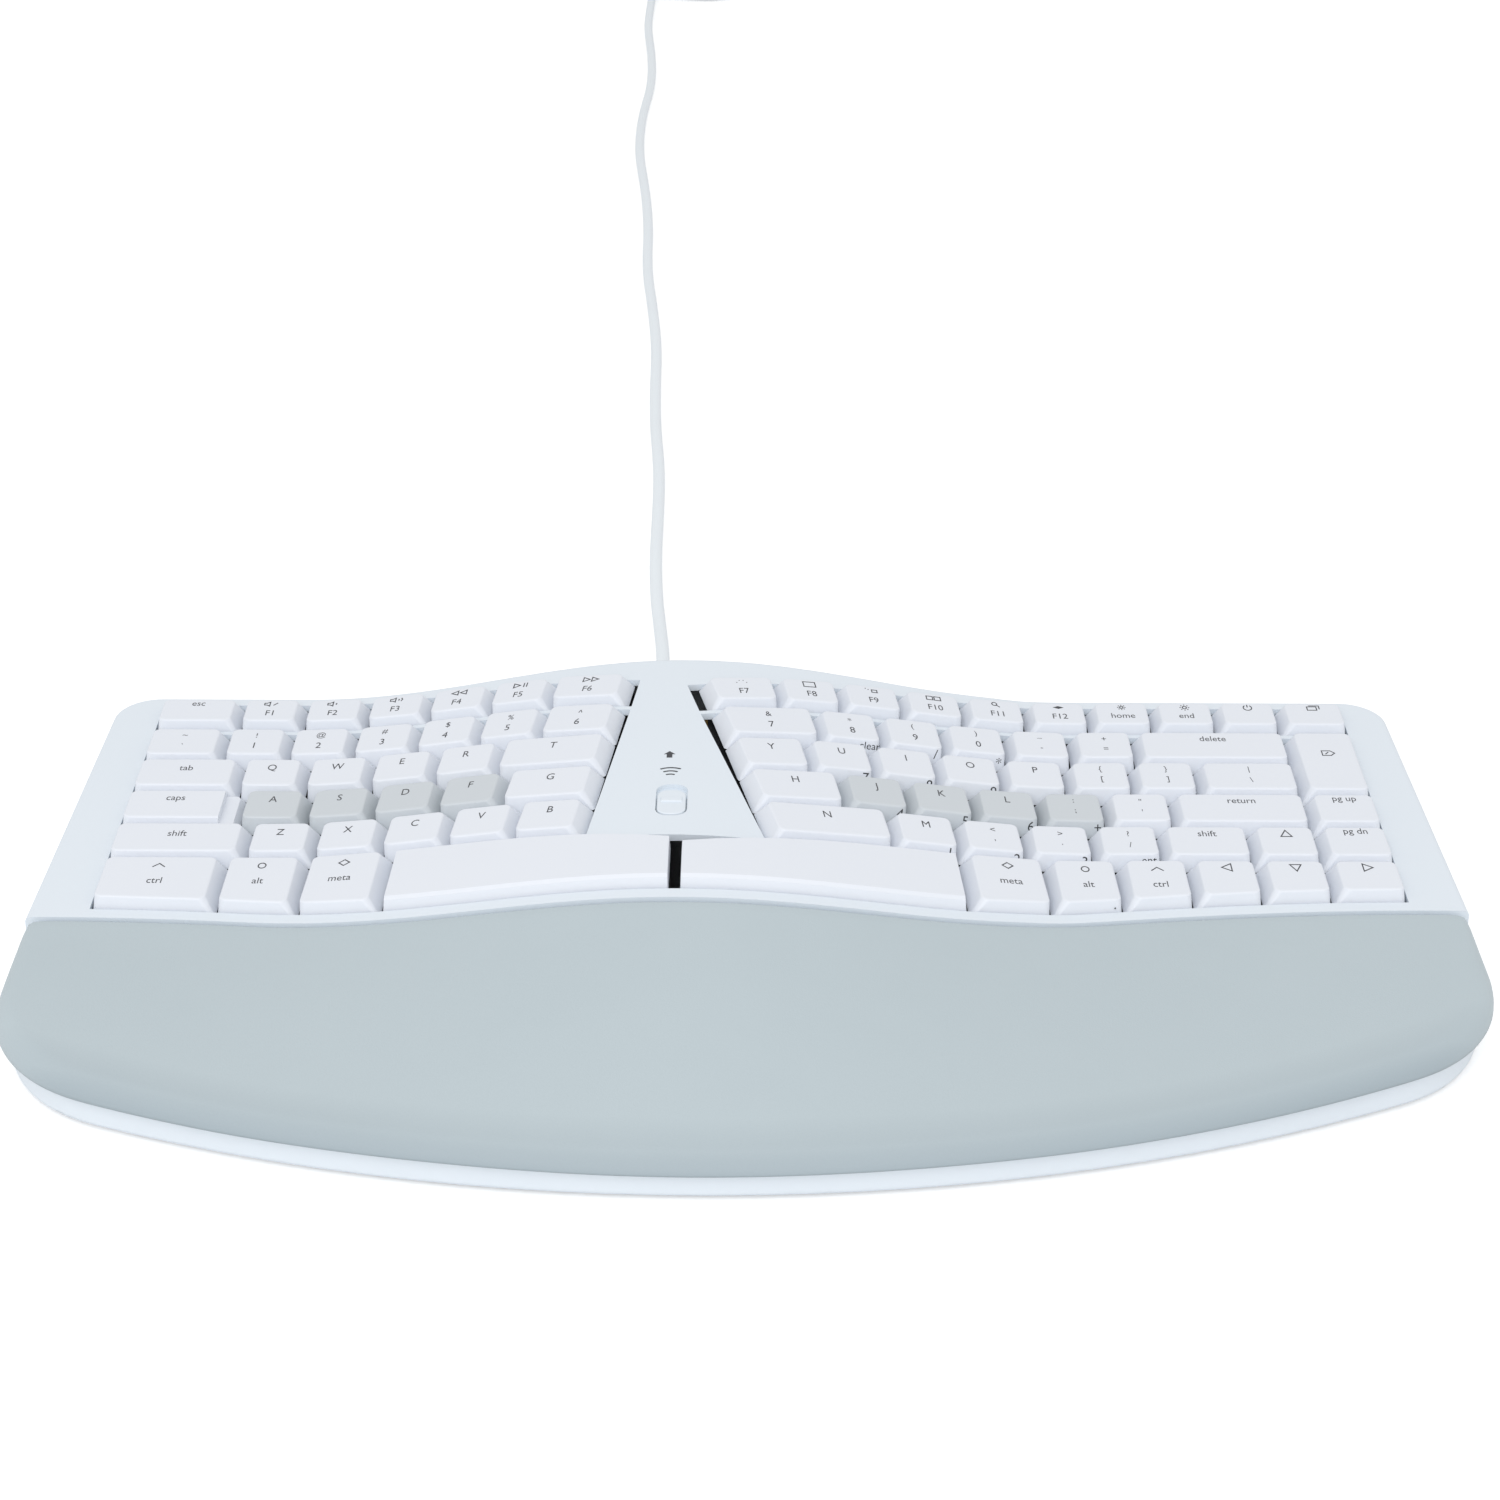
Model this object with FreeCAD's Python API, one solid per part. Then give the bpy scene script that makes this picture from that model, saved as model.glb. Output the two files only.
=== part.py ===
import FreeCAD, Part
import os
from math import cos, pi, radians, sin, sqrt

# Wired ergonomic keyboard. Two key fields turn and rise towards a centre spine, a soft palm
# rest runs along the front. X is to the right, Y to the back, Z up, with the origin on the
# desk under the middle of the body. Lengths are millimetres.

Vector = FreeCAD.Vector
os.makedirs("parts", exist_ok=True)

# Body outline, seen from above
body_back = 117.5
body_front = -117.5
half_width_back = 192.2
half_width_front = 194.8
palm_half_width = 195.2
palm_widest_y = -36.0
back_corner_radius = 13.0
palm_corner_radius = 46.0
front_arc_radius = 420.0
front_arc_x = -12.0
strip_width = 4.6
rim_inset = 3.4
side_inset = 0.6

# Heights above the desk
foot_height = 1.2
shell_floor = 2.0
parting_height = 9.0
key_top_height = 22.0
deck_below_keys = 3.0
palm_front_height = 13.2
palm_base_front = 9.6

# The wave across the board: how far the spine stands above the flat outer parts
spine_x = -19.0
tent_run = 116.0
tent_rise = 13.4
tent_rise_per_y = 0.005

# How far the columns lean at the spine, and where they stand straight again
lean_at_spine = {"left": radians(9.0), "right": radians(9.7)}
lean_run = {"left": 135.0, "right": 150.0}

# Spine edges: X at the reference line, and the slope of each edge
spine_ref_y = 58.0
spine_edge_x = {"left": -39.4, "right": -6.6}
spine_edge_slope = {"left": 0.119, "right": -0.224}
spine_end_y = {"left": 10.6, "right": 9.4}
space_slot_x = {"left": -21.5, "right": -18.5}

# Keys
key_pitch = 19.05
key_gap = 0.7
front_gap = 0.15
function_bar = 2.2
function_depth = 16.9
cap_height = 5.2
cap_outer_run = 0.4
cap_inner_run = 2.9
cap_rear_run = 1.5
cap_front_run = 1.5
cap_wall = 1.3
cap_corner_low = 0.9
cap_corner_top = 2.2
cap_edge_radius = 0.7
space_edge = 0.8
space_slot_run = 0.3
space_end_gap = 0.85
space_sections = 8
home_row_y = 45.4
outer_x = {"left": -178.0, "right": 179.0}
front_edge_y = {"left": -8.0, "right": -2.0}
front_dip = {"left": 10.5, "right": 16.5}
front_dip_run = {"left": 170.0, "right": 200.0}
window_gap = 0.5
spine_gap = 0.5
key_travel = 3.0
caps_step = 5.6
caps_step_drop = 2.4

# Switches, measured down from the key top
switch_top = 5.5
plate_top = 9.2
plate_thickness = 1.2
switch_flange = 14.4
switch_flange_height = 0.6
switch_upper = 10.4
switch_body = 13.6
switch_hole_gap = 0.1
stabiliser_size = (8.9, 11.0)
wire_radius = 0.6
switch_bore_radius = 3.7
boss_radius = 2.8
slider_radius = 3.0
stub_radius = 1.9
boss_depth = 4.6
slider_end = 8.3
bore_floor = slider_end + key_travel + 0.4
switch_bottom = bore_floor + 0.5
stabiliser_top = 7.2
stabiliser_bottom = switch_bottom + 0.3
board_gap = 0.5
board_thickness = 1.0

# Walls and inner parts
shell_wall = 2.2
shell_edge_radius = 1.6
deck_thickness = 2.0
palm_bed_rear = -12.6
palm_crown = 1.4
palm_roll = 5.0
palm_pad_thickness = 5.5
palm_pad_gap = 0.6
palm_bed_gap = 0.1
palm_plate_thickness = 2.0
fit_gap = 0.3
screw_radius = 1.25
screw_head_radius = 2.6
screw_boss_radius = 3.3
screw_head_height = 1.5
screw_top = 14.5
side_screw_x = 184.4
side_screw_y = [2.0, 52.0, 99.0]
spine_screw = (-20.5, 72.0)
palm_screws = [(-150.0, -32.0), (-62.0, -62.0), (38.0, -62.0), (146.0, -32.0)]
post_radius = 2.0
foot_radius = 6.0
foot_recess = 0.4
foot_spots = [(0.0, -96.0), (-150.0, -62.0), (150.0, -58.0), (-172.0, 98.0), (172.0, 98.0)]
battery_size = (58.0, 38.0, 4.8)
battery_corner = (-52.0, 22.0)
controller_size = (38.0, 24.0, 1.0)
board_spine_gap = 6.5
link_width = 12.0
link_y = 86.0

# Slide switch on the spine
knob_x = -21.8
knob_slot_y = 29.5
knob_slot_size = (8.8, 17.6)
knob_slot_corner = 3.6
knob_travel = 3.2
knob_recess = 1.4
knob_proud = 0.3
knob_gap = 0.4
slide_body_size = (9.0, 15.0, 5.0)
slide_bay_gap = 0.5
stem_size = (3.4, 4.0, 3.2)

# Fold-out feet under the back
tilt_foot_x = 118.0
tilt_foot_size = (24.0, 20.0, 2.4)
tilt_hinge_y = 96.0
tilt_hinge_z = 2.9
tilt_barrel = 1.5
tilt_pin_radius = 0.9
tilt_pocket_wall = 2.0
tilt_hinge_room = 3.4

# Cable
cord_diameter = 4.3
cord_arc_share = 0.45
coil_centre = (-28.0, 1050.0)
coil_radius = 29.0
coil_pitch = 4.8
coil_layer = 4.9
coil_turns = 2.75
coil_lift = 1.15
climb_tuck = 1.3
tail_length = 46.0
tie_width = 9.0
tie_thickness = 0.8
tie_gap = 0.3
usb_a_grip = (16.0, 8.0, 24.0)
usb_a_shell = (12.0, 4.5, 18.0)
socket_x = -28.0
socket_z = 6.2
socket_size = (9.0, 7.4, 3.3)
shell_size = (8.3, 2.5)
plug_width = 11.6
plug_height = 6.6
plug_length = 20.0
relief_length = 14.0

row_y = {
    "function": home_row_y + 3 * key_pitch + function_bar,
    "number": home_row_y + 2 * key_pitch,
    "top": home_row_y + key_pitch,
    "home": home_row_y,
    "bottom": home_row_y - key_pitch,
    "space": home_row_y - 2 * key_pitch,
}

# Keys of each row from the outer edge inwards; "fill" keys reach the spine
row_keys = {
    "left": {
        "function": ["escape", "f1", "f2", "f3", "f4", "f5", "f6"],
        "number": ["grave", "1", "2", "3", "4", "5", "6"],
        "top": ["tab", "q", "w", "e", "r", "t"],
        "home": ["caps_lock", "a", "s", "d", "f", "g"],
        "bottom": ["shift_left", "z", "x", "c", "v", "b"],
        "space": ["control_left", "option_left", "command_left"],
    },
    "right": {
        "function": ["screens", "power", "end", "home", "f12", "f11", "f10", "f9", "f8", "f7"],
        "number": ["forward_delete", "delete", "equals", "minus", "0", "9", "8", "7"],
        "top": ["column", "backslash", "bracket_right", "bracket_left", "p", "o", "i", "u", "y"],
        "home": ["page_up", "return", "quote", "semicolon", "l", "k", "j", "h"],
        "bottom": ["page_down", "arrow_up", "shift_right", "slash", "period", "comma", "m", "n"],
        "space": ["arrow_right", "arrow_down", "arrow_left", "control_right", "option_right",
                  "command_right"],
    },
}
key_width = {
    "escape": 25.2, "grave": 23.5, "tab": 30.8, "caps_lock": 33.7, "shift_left": 38.3,
    "control_left": 34.1, "option_left": 22.4, "command_left": 23.0,
    "screens": 20.4, "forward_delete": 20.4, "column": 20.4, "page_up": 20.4, "page_down": 20.4,
    "arrow_right": 20.4,
    "delete": 45.4, "backslash": 29.3, "return": 38.8, "shift_right": 25.2,
    "control_right": 19.5, "option_right": 20.0, "command_right": 22.9,
}
fill_keys = ["f6", "6", "t", "g", "b", "f7", "7", "y", "h", "n"]
stabilised = {"space_left": 16.0, "space_right": 16.0, "delete": 14.0, "return": 12.0,
              "shift_left": 12.0}

# One node per key, or per short run of like keys
key_nodes = {
    "key_escape": ["escape"],
    "keys_f1_to_f6": ["f1", "f2", "f3", "f4", "f5", "f6"],
    "keys_f7_to_f12": ["f12", "f11", "f10", "f9", "f8", "f7"],
    "keys_home_to_screens": ["home", "end", "power", "screens"],
    "keys_grave_to_6": ["grave", "1", "2", "3", "4", "5", "6"],
    "keys_7_to_equals": ["7", "8", "9", "0", "minus", "equals"],
    "key_delete": ["delete"],
    "key_forward_delete": ["forward_delete"],
    "key_tab": ["tab"],
    "keys_q_to_t": ["q", "w", "e", "r", "t"],
    "keys_y_to_backslash": ["y", "u", "i", "o", "p", "bracket_left", "bracket_right", "backslash"],
    "key_caps_lock": ["caps_lock"],
    "keys_a_to_f": ["a", "s", "d", "f"],
    "key_g": ["g"],
    "key_h": ["h"],
    "keys_j_to_semicolon": ["j", "k", "l", "semicolon"],
    "key_quote": ["quote"],
    "key_return": ["return"],
    "key_shift_left": ["shift_left"],
    "keys_z_to_b": ["z", "x", "c", "v", "b"],
    "keys_n_to_slash": ["n", "m", "comma", "period", "slash"],
    "key_shift_right": ["shift_right"],
    "keys_page_up_down": ["page_up", "page_down"],
    "key_control_left": ["control_left"],
    "key_option_left": ["option_left"],
    "key_command_left": ["command_left"],
    "key_command_right": ["command_right"],
    "key_option_right": ["option_right"],
    "key_control_right": ["control_right"],
    "key_arrow_up": ["arrow_up"],
    "key_arrow_left": ["arrow_left"],
    "key_arrow_down": ["arrow_down"],
    "key_arrow_right": ["arrow_right"],
}


def side_sign(half):
    return -1 if half == "left" else 1


def fade(share):
    """Half a cosine wave: 1 at 0, falling smoothly to 0 at 1 and beyond."""
    return 0.5 * (1 + cos(pi * min(abs(share), 1)))


def tent(x, y):
    """Height of the wave above the flat outer part."""
    return (tent_rise + tent_rise_per_y * y) * fade((x - spine_x) / tent_run)


def lean(half, x):
    """Angle of a column that stands at x."""
    return lean_at_spine[half] * fade((x - spine_x) / lean_run[half])


def dip(half, x):
    """How far a row has come forward at x: the lean summed from the outer side."""
    run = lean_run[half]
    distance = min(abs(x - spine_x), run)
    straight = run - distance
    curved = run / pi * sin(pi * distance / run)
    return lean_at_spine[half] * 0.5 * (straight - curved)


def half_of(x):
    return "left" if x < spine_x else "right"


def well_front(x):
    """Front line of the key fields."""
    half = half_of(x)
    return front_edge_y[half] - front_dip[half] * fade((x - spine_x) / front_dip_run[half])


def palm_rear(x):
    return well_front(x) - strip_width


def key_height(x, y):
    return key_top_height + tent(x, y)


def spine_edge(half, y):
    return spine_edge_x[half] + spine_edge_slope[half] * (y - spine_ref_y)


def surface_place(half, x, y):
    """Placement of a key: x along its row, y along its column, z out of the surface."""
    step = 0.5
    slope_x = (tent(x + step, y) - tent(x - step, y)) / (2 * step)
    slope_y = (tent(x, y + step) - tent(x, y - step)) / (2 * step)
    row_slope = side_sign(half) * lean(half, x)
    along = Vector(1, row_slope, slope_x + slope_y * row_slope).normalize()
    out = Vector(-slope_x, -slope_y, 1).normalize()
    across = out.cross(along)
    turned = FreeCAD.Rotation(along, across, out, "ZXY")
    return FreeCAD.Placement(Vector(x, y, key_height(x, y)), turned)


class Key:
    """A key's place, and its outline on the surface as four corners."""

    def __init__(self, name, half, x, y, width, depth):
        self.name = name
        self.half = half
        self.width = width
        self.place = surface_place(half, x, y)
        self.x = x
        self.y = y
        w = width / 2 - key_gap / 2
        d = depth / 2 - key_gap / 2
        self.corners = [(-w, -d), (w, -d), (w, d), (-w, d)]

    def reach_front(self):
        """Move the front corners to the front line of the key field."""
        turn = side_sign(self.half) * lean(self.half, self.x)
        for index in (0, 1):
            u = self.corners[index][0]
            x = self.x + u * cos(turn)
            front = well_front(x) + key_gap / 2 + front_gap
            self.corners[index] = (u, (front - self.y - u * sin(turn)) / cos(turn))

    def reach_spine(self):
        """Move the inner corners so that the skirt runs along the edge of the spine."""
        sign = side_sign(self.half)
        turn = sign * lean(self.half, self.x)
        slope = (tent(self.x + 1, self.y) - tent(self.x - 1, self.y)) / 2
        stretch = sqrt(1 + slope ** 2)
        skirt_shift = slope * cap_height
        for index in (1, 2) if self.half == "left" else (0, 3):
            u, v = self.corners[index]
            for repeat in range(3):
                y = self.y + u * sin(turn) + v * cos(turn)
                x = spine_edge(self.half, y) + sign * spine_gap - skirt_shift
                u = (x - self.x + v * sin(turn)) / cos(turn) * stretch
            self.corners[index] = (u, v)

    def middle(self):
        """Local Y of the middle of the key, where its switch stands."""
        return sum(corner[1] for corner in self.corners) / 4


def lay_out_keys():
    keys = {}
    for half, half_rows in row_keys.items():
        sign = side_sign(half)
        for row, names in half_rows.items():
            edge = outer_x[half]
            depth = function_depth if row == "function" else key_pitch
            line = row_y[row] - (key_pitch - depth) / 2
            for name in names:
                width = key_width.get(name, key_pitch)
                x = edge - sign * width / 2
                y = line - dip(half, x)
                if name in fill_keys:
                    inner = spine_edge(half, y) + sign * spine_gap
                    x = (edge + inner) / 2
                    y = line - dip(half, x)
                    inner = spine_edge(half, y) + sign * spine_gap
                    slope = (tent(edge, y) - tent(inner, y)) / (edge - inner)
                    width = abs(edge - inner) * sqrt(1 + slope ** 2) / cos(lean(half, x))
                    keys[name] = Key(name, half, (edge + inner) / 2, y, width, depth)
                    keys[name].reach_spine()
                    continue
                slope = (tent(x + 1, y) - tent(x - 1, y)) / 2
                step = width * cos(lean(half, x)) / sqrt(1 + slope ** 2)
                x = edge - sign * step / 2
                edge -= sign * step
                if name == "column":
                    continue
                y = line - dip(half, x)
                if name == "forward_delete":
                    keys[name] = Key(name, half, x, y - key_pitch / 2, width, 2 * key_pitch)
                    continue
                keys[name] = Key(name, half, x, y, width, depth)
                if row == "space":
                    keys[name].reach_front()
    return keys


def ring(corners, radii, z):
    """Closed wire through straight sides and round corners, anticlockwise from above."""
    count = len(corners)
    entries = []
    for index in range(count):
        corner = Vector(corners[index][0], corners[index][1], z)
        before = Vector(*corners[index - 1], z) - corner
        after = Vector(*corners[(index + 1) % count], z) - corner
        before.normalize()
        after.normalize()
        half_angle = before.getAngle(after) / 2
        radius = radii[index]
        reach = radius * cos(half_angle) / sin(half_angle)
        start = corner + before * reach
        end = corner + after * reach
        middle = (before + after).normalize()
        top = corner + middle * (radius / sin(half_angle) - radius)
        entries.append((start, top, end))
    edges = []
    for index in range(count):
        start, top, end = entries[index]
        edges.append(Part.Arc(start, top, end).toShape())
        following = entries[(index + 1) % count][0]
        edges.append(Part.LineSegment(end, following).toShape())
    return Part.Wire(edges)


def inset(corners, left, right, rear, front):
    """Corners (front left, front right, rear right, rear left) drawn in on each side."""
    moved = []
    shifts = [(left, front), (-right, front), (-right, -rear), (left, -rear)]
    for corner, shift in zip(corners, shifts):
        moved.append((corner[0] + shift[0], corner[1] + shift[1]))
    return moved


def to_the_top(corners, half):
    """Corners of a cap's top: the flank that faces the spine slopes much more than the outer."""
    if half == "left":
        return inset(corners, cap_outer_run, cap_inner_run, cap_rear_run, cap_front_run)
    return inset(corners, cap_inner_run, cap_outer_run, cap_rear_run, cap_front_run)


def cap_body(corners, half):
    """Tapered block of a keycap from its skirt to its top."""
    high = to_the_top(corners, half)
    low_ring = ring(corners, [cap_corner_low] * 4, -cap_height)
    high_ring = ring(high, [cap_corner_top] * 4, 0.0)
    return Part.makeLoft([low_ring, high_ring], True, True)


def flat_block(low_corners, low, high_corners, high):
    """Block with flat sides between two outlines of four corners, anticlockwise from above."""
    below = [Vector(x, y, low) for x, y in low_corners]
    above = [Vector(x, y, high) for x, y in high_corners]
    outlines = [below[::-1], above]
    for index in range(4):
        following = (index + 1) % 4
        outlines.append([below[index], below[following], above[following]])
        outlines.append([below[index], above[following], above[index]])
    faces = [Part.Face(Part.makePolygon(points + points[:1])) for points in outlines]
    return Part.makeSolid(Part.makeShell(faces)).removeSplitter()


def top_edges(shape, height):
    found = []
    for edge in shape.Edges:
        box = edge.BoundBox
        if abs(box.ZMin - height) < 0.01 and abs(box.ZMax - height) < 0.01:
            found.append(edge)
    return found


def post(radius, low, high, x=0.0, y=0.0):
    return Part.makeCylinder(radius, high - low, Vector(x, y, low))


def boss_and_slider(x, y):
    """The boss under a cap, with a hole for the slider's stub, and the slider itself."""
    boss = post(boss_radius, -boss_depth, -cap_wall, x, y)
    hole = post(stub_radius, -boss_depth, -cap_wall, x, y)
    slider = post(slider_radius, -slider_end, -boss_depth, x, y)
    stub = post(stub_radius, -boss_depth, -cap_wall - 0.4, x, y)
    return boss.cut(hole), slider.fuse(stub).removeSplitter()


def post_spots(key):
    """Local places of the switch and of any stabilisers under a key."""
    spots = [(0.0, key.middle())]
    if key.name in stabilised:
        for sign in (-1, 1):
            spots.append((sign * stabilised[key.name], key.middle()))
    return spots


def keycap(key):
    """Solids of one key: the hollow cap and its sliders, in the board's frame."""
    outside = cap_body(key.corners, key.half)
    outside = outside.makeFillet(cap_edge_radius, top_edges(outside, 0.0))
    pocket_corners = inset(key.corners, cap_wall, cap_wall, cap_wall, cap_wall)
    roof = to_the_top(pocket_corners, key.half)
    pocket = flat_block(pocket_corners, -cap_height - 0.01, roof, -cap_wall)
    if key.name == "caps_lock":
        step = key.corners[1][0] - caps_step
        size = 2 * key_pitch
        above_step = Part.makeBox(size, size, size, Vector(step, -key_pitch, -caps_step_drop))
        outside = outside.cut(above_step)
        above_step.translate(Vector(-cap_wall, 0, -cap_wall))
        pocket = pocket.cut(above_step)
    outside = outside.cut(pocket)
    solids = []
    for x, y in post_spots(key):
        boss, slider = boss_and_slider(x, y)
        outside = outside.fuse(boss)
        solids.append(slider)
    solids.insert(0, outside)
    for solid in solids:
        solid.Placement = key.place
    return solids


def space_section(half, x, share, edge, drop, margin):
    """Wire across a space bar at x: skirt, two flanks and a top with bevelled edges.
    It turns with the neighbouring key's column at the outer end, where share is 1."""
    base = cap_height if margin == 0 else cap_height + 1
    end = space_outer[half]
    rear = row_y["space"] + key_pitch / 2 - dip(half, x) - key_gap / 2 - margin
    front = well_front(x) + key_gap / 2 + front_gap + margin

    def spot(y, height_y, below):
        turned_x = x - share * sin(end["turn"]) / cos(end["turn"]) * (y - end["y"])
        return Vector(turned_x, y, key_height(turned_x, height_y) - below)

    rear_low = spot(rear, rear, base)
    rear_top = spot(rear - cap_rear_run, rear, drop)
    front_top = spot(front + cap_front_run, front, drop)
    front_low = spot(front, front, base)
    along = (front_top - rear_top).normalize() * edge
    down_rear = (rear_low - rear_top).normalize() * edge
    down_front = (front_low - front_top).normalize() * edge
    points = [rear_low, rear_top + down_rear, rear_top + along,
              front_top - along, front_top + down_front, front_low]
    return Part.makePolygon(points + [rear_low])


def space_ends(half):
    """X of a space bar's outer end and of its end at the slot."""
    return space_outer[half]["x"] - side_sign(half) * space_end_gap, space_slot_x[half]


def space_block(half, margin):
    """Solid of a space bar drawn in by a margin: 0 is its outside, a wall its pocket."""
    sign = side_sign(half)
    outer, inner = space_ends(half)
    first = outer - sign * margin
    last = inner + sign * margin
    low_end = cap_height - 0.6
    stations = [(first, low_end, 0.1), (first - sign * cap_outer_run, margin, space_edge)]
    for index in range(1, space_sections):
        x = first + (last - first) * index / space_sections
        stations.append((x, margin, space_edge))
    stations.append((last + sign * space_slot_run, margin, space_edge))
    stations.append((last, low_end, 0.1))
    rings = []
    for x, drop, edge in stations:
        share = (x - last) / (first - last)
        rings.append(space_section(half, x, share, edge, drop, margin))
    return Part.makeLoft(rings, True, True)


def space_bar(half):
    """Space bar that follows the wave, its pocket, boss and sliders."""
    outside = space_block(half, 0.0)
    solid = outside.cut(space_block(half, cap_wall))
    key = space_key(half)
    sliders = []
    for x, y in post_spots(key):
        boss, slider = boss_and_slider(x, y)
        boss.Placement = key.place
        slider.Placement = key.place
        solid = solid.fuse(boss.common(outside))
        sliders.append(slider)
    return [solid] + sliders


def space_key(half):
    """Place of a space bar's switch, at the middle of the bar."""
    outer, inner = space_ends(half)
    x = (outer + inner) / 2
    rear = row_y["space"] + key_pitch / 2 - dip(half, x)
    y = (rear + well_front(x)) / 2
    return Key("space_" + half, half, x, y, abs(outer - inner), rear - well_front(x))


keys = lay_out_keys()
# Middle and turn of each last key's inner edge, which a space bar's outer end runs along
space_outer = {}
for side, neighbour in (("left", "command_left"), ("right", "command_right")):
    last_key = keys[neighbour]
    key_lean = lean(side, last_key.x)
    space_outer[side] = {
        "x": last_key.x - side_sign(side) * last_key.width / 2 * cos(key_lean),
        "y": last_key.y - last_key.width / 2 * sin(key_lean),
        "turn": side_sign(side) * key_lean,
    }


def below_wave(offset, low=0.0):
    """Solid under the wave surface, offset down from the key tops."""
    wires = []
    reach = 215.0
    for y in (body_front - 20, body_back + 20):
        points = []
        count = 12
        for index in range(count + 1):
            x = spine_x - tent_run + 2 * tent_run * index / count
            points.append(Vector(x, y, key_height(x, y) - offset))
        curve = Part.BSplineCurve()
        curve.interpolate(points, InitialTangent=Vector(1, 0, 0), FinalTangent=Vector(1, 0, 0))
        flat = key_top_height - offset
        left = Vector(-reach, y, flat)
        right = Vector(reach, y, flat)
        corner_right = Vector(reach, y, low)
        corner_left = Vector(-reach, y, low)
        edges = [
            Part.LineSegment(left, points[0]).toShape(),
            curve.toShape(),
            Part.LineSegment(points[-1], right).toShape(),
            Part.LineSegment(right, corner_right).toShape(),
            Part.LineSegment(corner_right, corner_left).toShape(),
            Part.LineSegment(corner_left, left).toShape(),
        ]
        wires.append(Part.Wire(edges))
    return Part.makeLoft(wires, True, True)


def curve_through(function, start, end, count=8, z=0.0):
    """Smooth edge through points of y = function(x)."""
    points = []
    for index in range(count + 1):
        x = start + (end - start) * index / count
        points.append(Vector(x, function(x), z))
    curve = Part.BSplineCurve()
    curve.interpolate(points)
    return curve.toShape()


def prism(wire, low, high):
    face = Part.Face(wire)
    face.translate(Vector(0, 0, low - wire.BoundBox.ZMin))
    return face.extrude(Vector(0, 0, high - low))


def upper_outline(margin, front_margin):
    """Plan of the upper shell: straight back and sides, front along the palm rest."""
    back = body_back - margin
    radius = max(back_corner_radius - margin, 2.0)
    wb = half_width_back - margin
    wf = half_width_front - margin
    y_left = palm_rear(-wf) + front_margin
    y_right = palm_rear(wf) + front_margin
    diagonal = radius * (1 - sqrt(0.5))
    edges = [
        Part.LineSegment(Vector(-wf, y_left), Vector(-wb, back - radius)).toShape(),
        Part.Arc(Vector(-wb, back - radius), Vector(-wb + diagonal, back - diagonal),
                 Vector(-wb + radius, back)).toShape(),
        Part.LineSegment(Vector(-wb + radius, back), Vector(wb - radius, back)).toShape(),
        Part.Arc(Vector(wb - radius, back), Vector(wb - diagonal, back - diagonal),
                 Vector(wb, back - radius)).toShape(),
        Part.LineSegment(Vector(wb, back - radius), Vector(wf, y_right)).toShape(),
        curve_through(lambda x: palm_rear(x) + front_margin, wf, -wf, 12),
    ]
    return Part.Wire(edges)


def front_arc_y(x, margin=0.0):
    """Front line of the palm rest: one wide arc, then a round corner at each side."""
    centre_y = body_front + front_arc_radius
    corner = palm_corner_radius - margin
    corner_x = palm_half_width - palm_corner_radius
    sign = 1 if x > 0 else -1
    inner = front_arc_radius - palm_corner_radius
    corner_y = centre_y - sqrt(inner ** 2 - (sign * corner_x - front_arc_x) ** 2)
    meeting = front_arc_x + (sign * corner_x - front_arc_x) * front_arc_radius / inner
    if abs(x) > abs(meeting):
        reach = min(abs(x) - corner_x, corner)
        return corner_y - sqrt(corner ** 2 - reach ** 2)
    return centre_y - sqrt((front_arc_radius - margin) ** 2 - (x - front_arc_x) ** 2)


def body_prism(side_margin, palm_margin, low, high):
    """Upright block of the whole board's plan, with its four corners rounded."""
    back = body_back - side_margin
    wb = half_width_back - side_margin
    wf = palm_half_width - palm_margin
    centre_y = body_front + front_arc_radius
    radius = front_arc_radius - palm_margin
    left_end = centre_y - sqrt(radius ** 2 - (wf + front_arc_x) ** 2)
    right_end = centre_y - sqrt(radius ** 2 - (wf - front_arc_x) ** 2)
    middle = Vector(front_arc_x, body_front + palm_margin)
    edges = [
        Part.LineSegment(Vector(-wf, palm_widest_y), Vector(-wb, back)).toShape(),
        Part.LineSegment(Vector(-wb, back), Vector(wb, back)).toShape(),
        Part.LineSegment(Vector(wb, back), Vector(wf, palm_widest_y)).toShape(),
        Part.LineSegment(Vector(wf, palm_widest_y), Vector(wf, right_end)).toShape(),
        Part.Arc(Vector(wf, right_end), middle, Vector(-wf, left_end)).toShape(),
        Part.LineSegment(Vector(-wf, left_end), Vector(-wf, palm_widest_y)).toShape(),
    ]
    block = prism(Part.Wire(edges), low, high)
    rear = upright_edges(block, back - 1, back + 1)
    block = block.makeFillet(back_corner_radius - side_margin, rear)
    front = upright_edges(block, body_front - 10, palm_widest_y - 10)
    return block.makeFillet(palm_corner_radius - palm_margin, front)


def upright_edges(block, y_low, y_high):
    found = []
    for edge in block.Edges:
        box = edge.BoundBox
        upright = box.XLength < 0.01 and box.YLength < 0.01
        if upright and y_low < box.YMin < y_high:
            found.append(edge)
    return found


def row_curve(half, line, start, end):
    """Edge along a row: the straight line of the outer keys, dipping to the spine."""
    return curve_through(lambda x: line - dip(half, x), start, end)


def joined(*edges):
    """Closed wire of the given edges, with straight runs between their ends."""
    parts = []
    for index, edge in enumerate(edges):
        following = edges[(index + 1) % len(edges)]
        parts.append(edge)
        end = edge.valueAt(edge.LastParameter)
        start = following.valueAt(following.FirstParameter)
        if (end - start).Length > 0.01:
            parts.append(Part.LineSegment(end, start).toShape())
    return Part.Wire(parts)


def window_side(half):
    return outer_x[half] + side_sign(half) * (window_gap - key_gap / 2)


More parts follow.
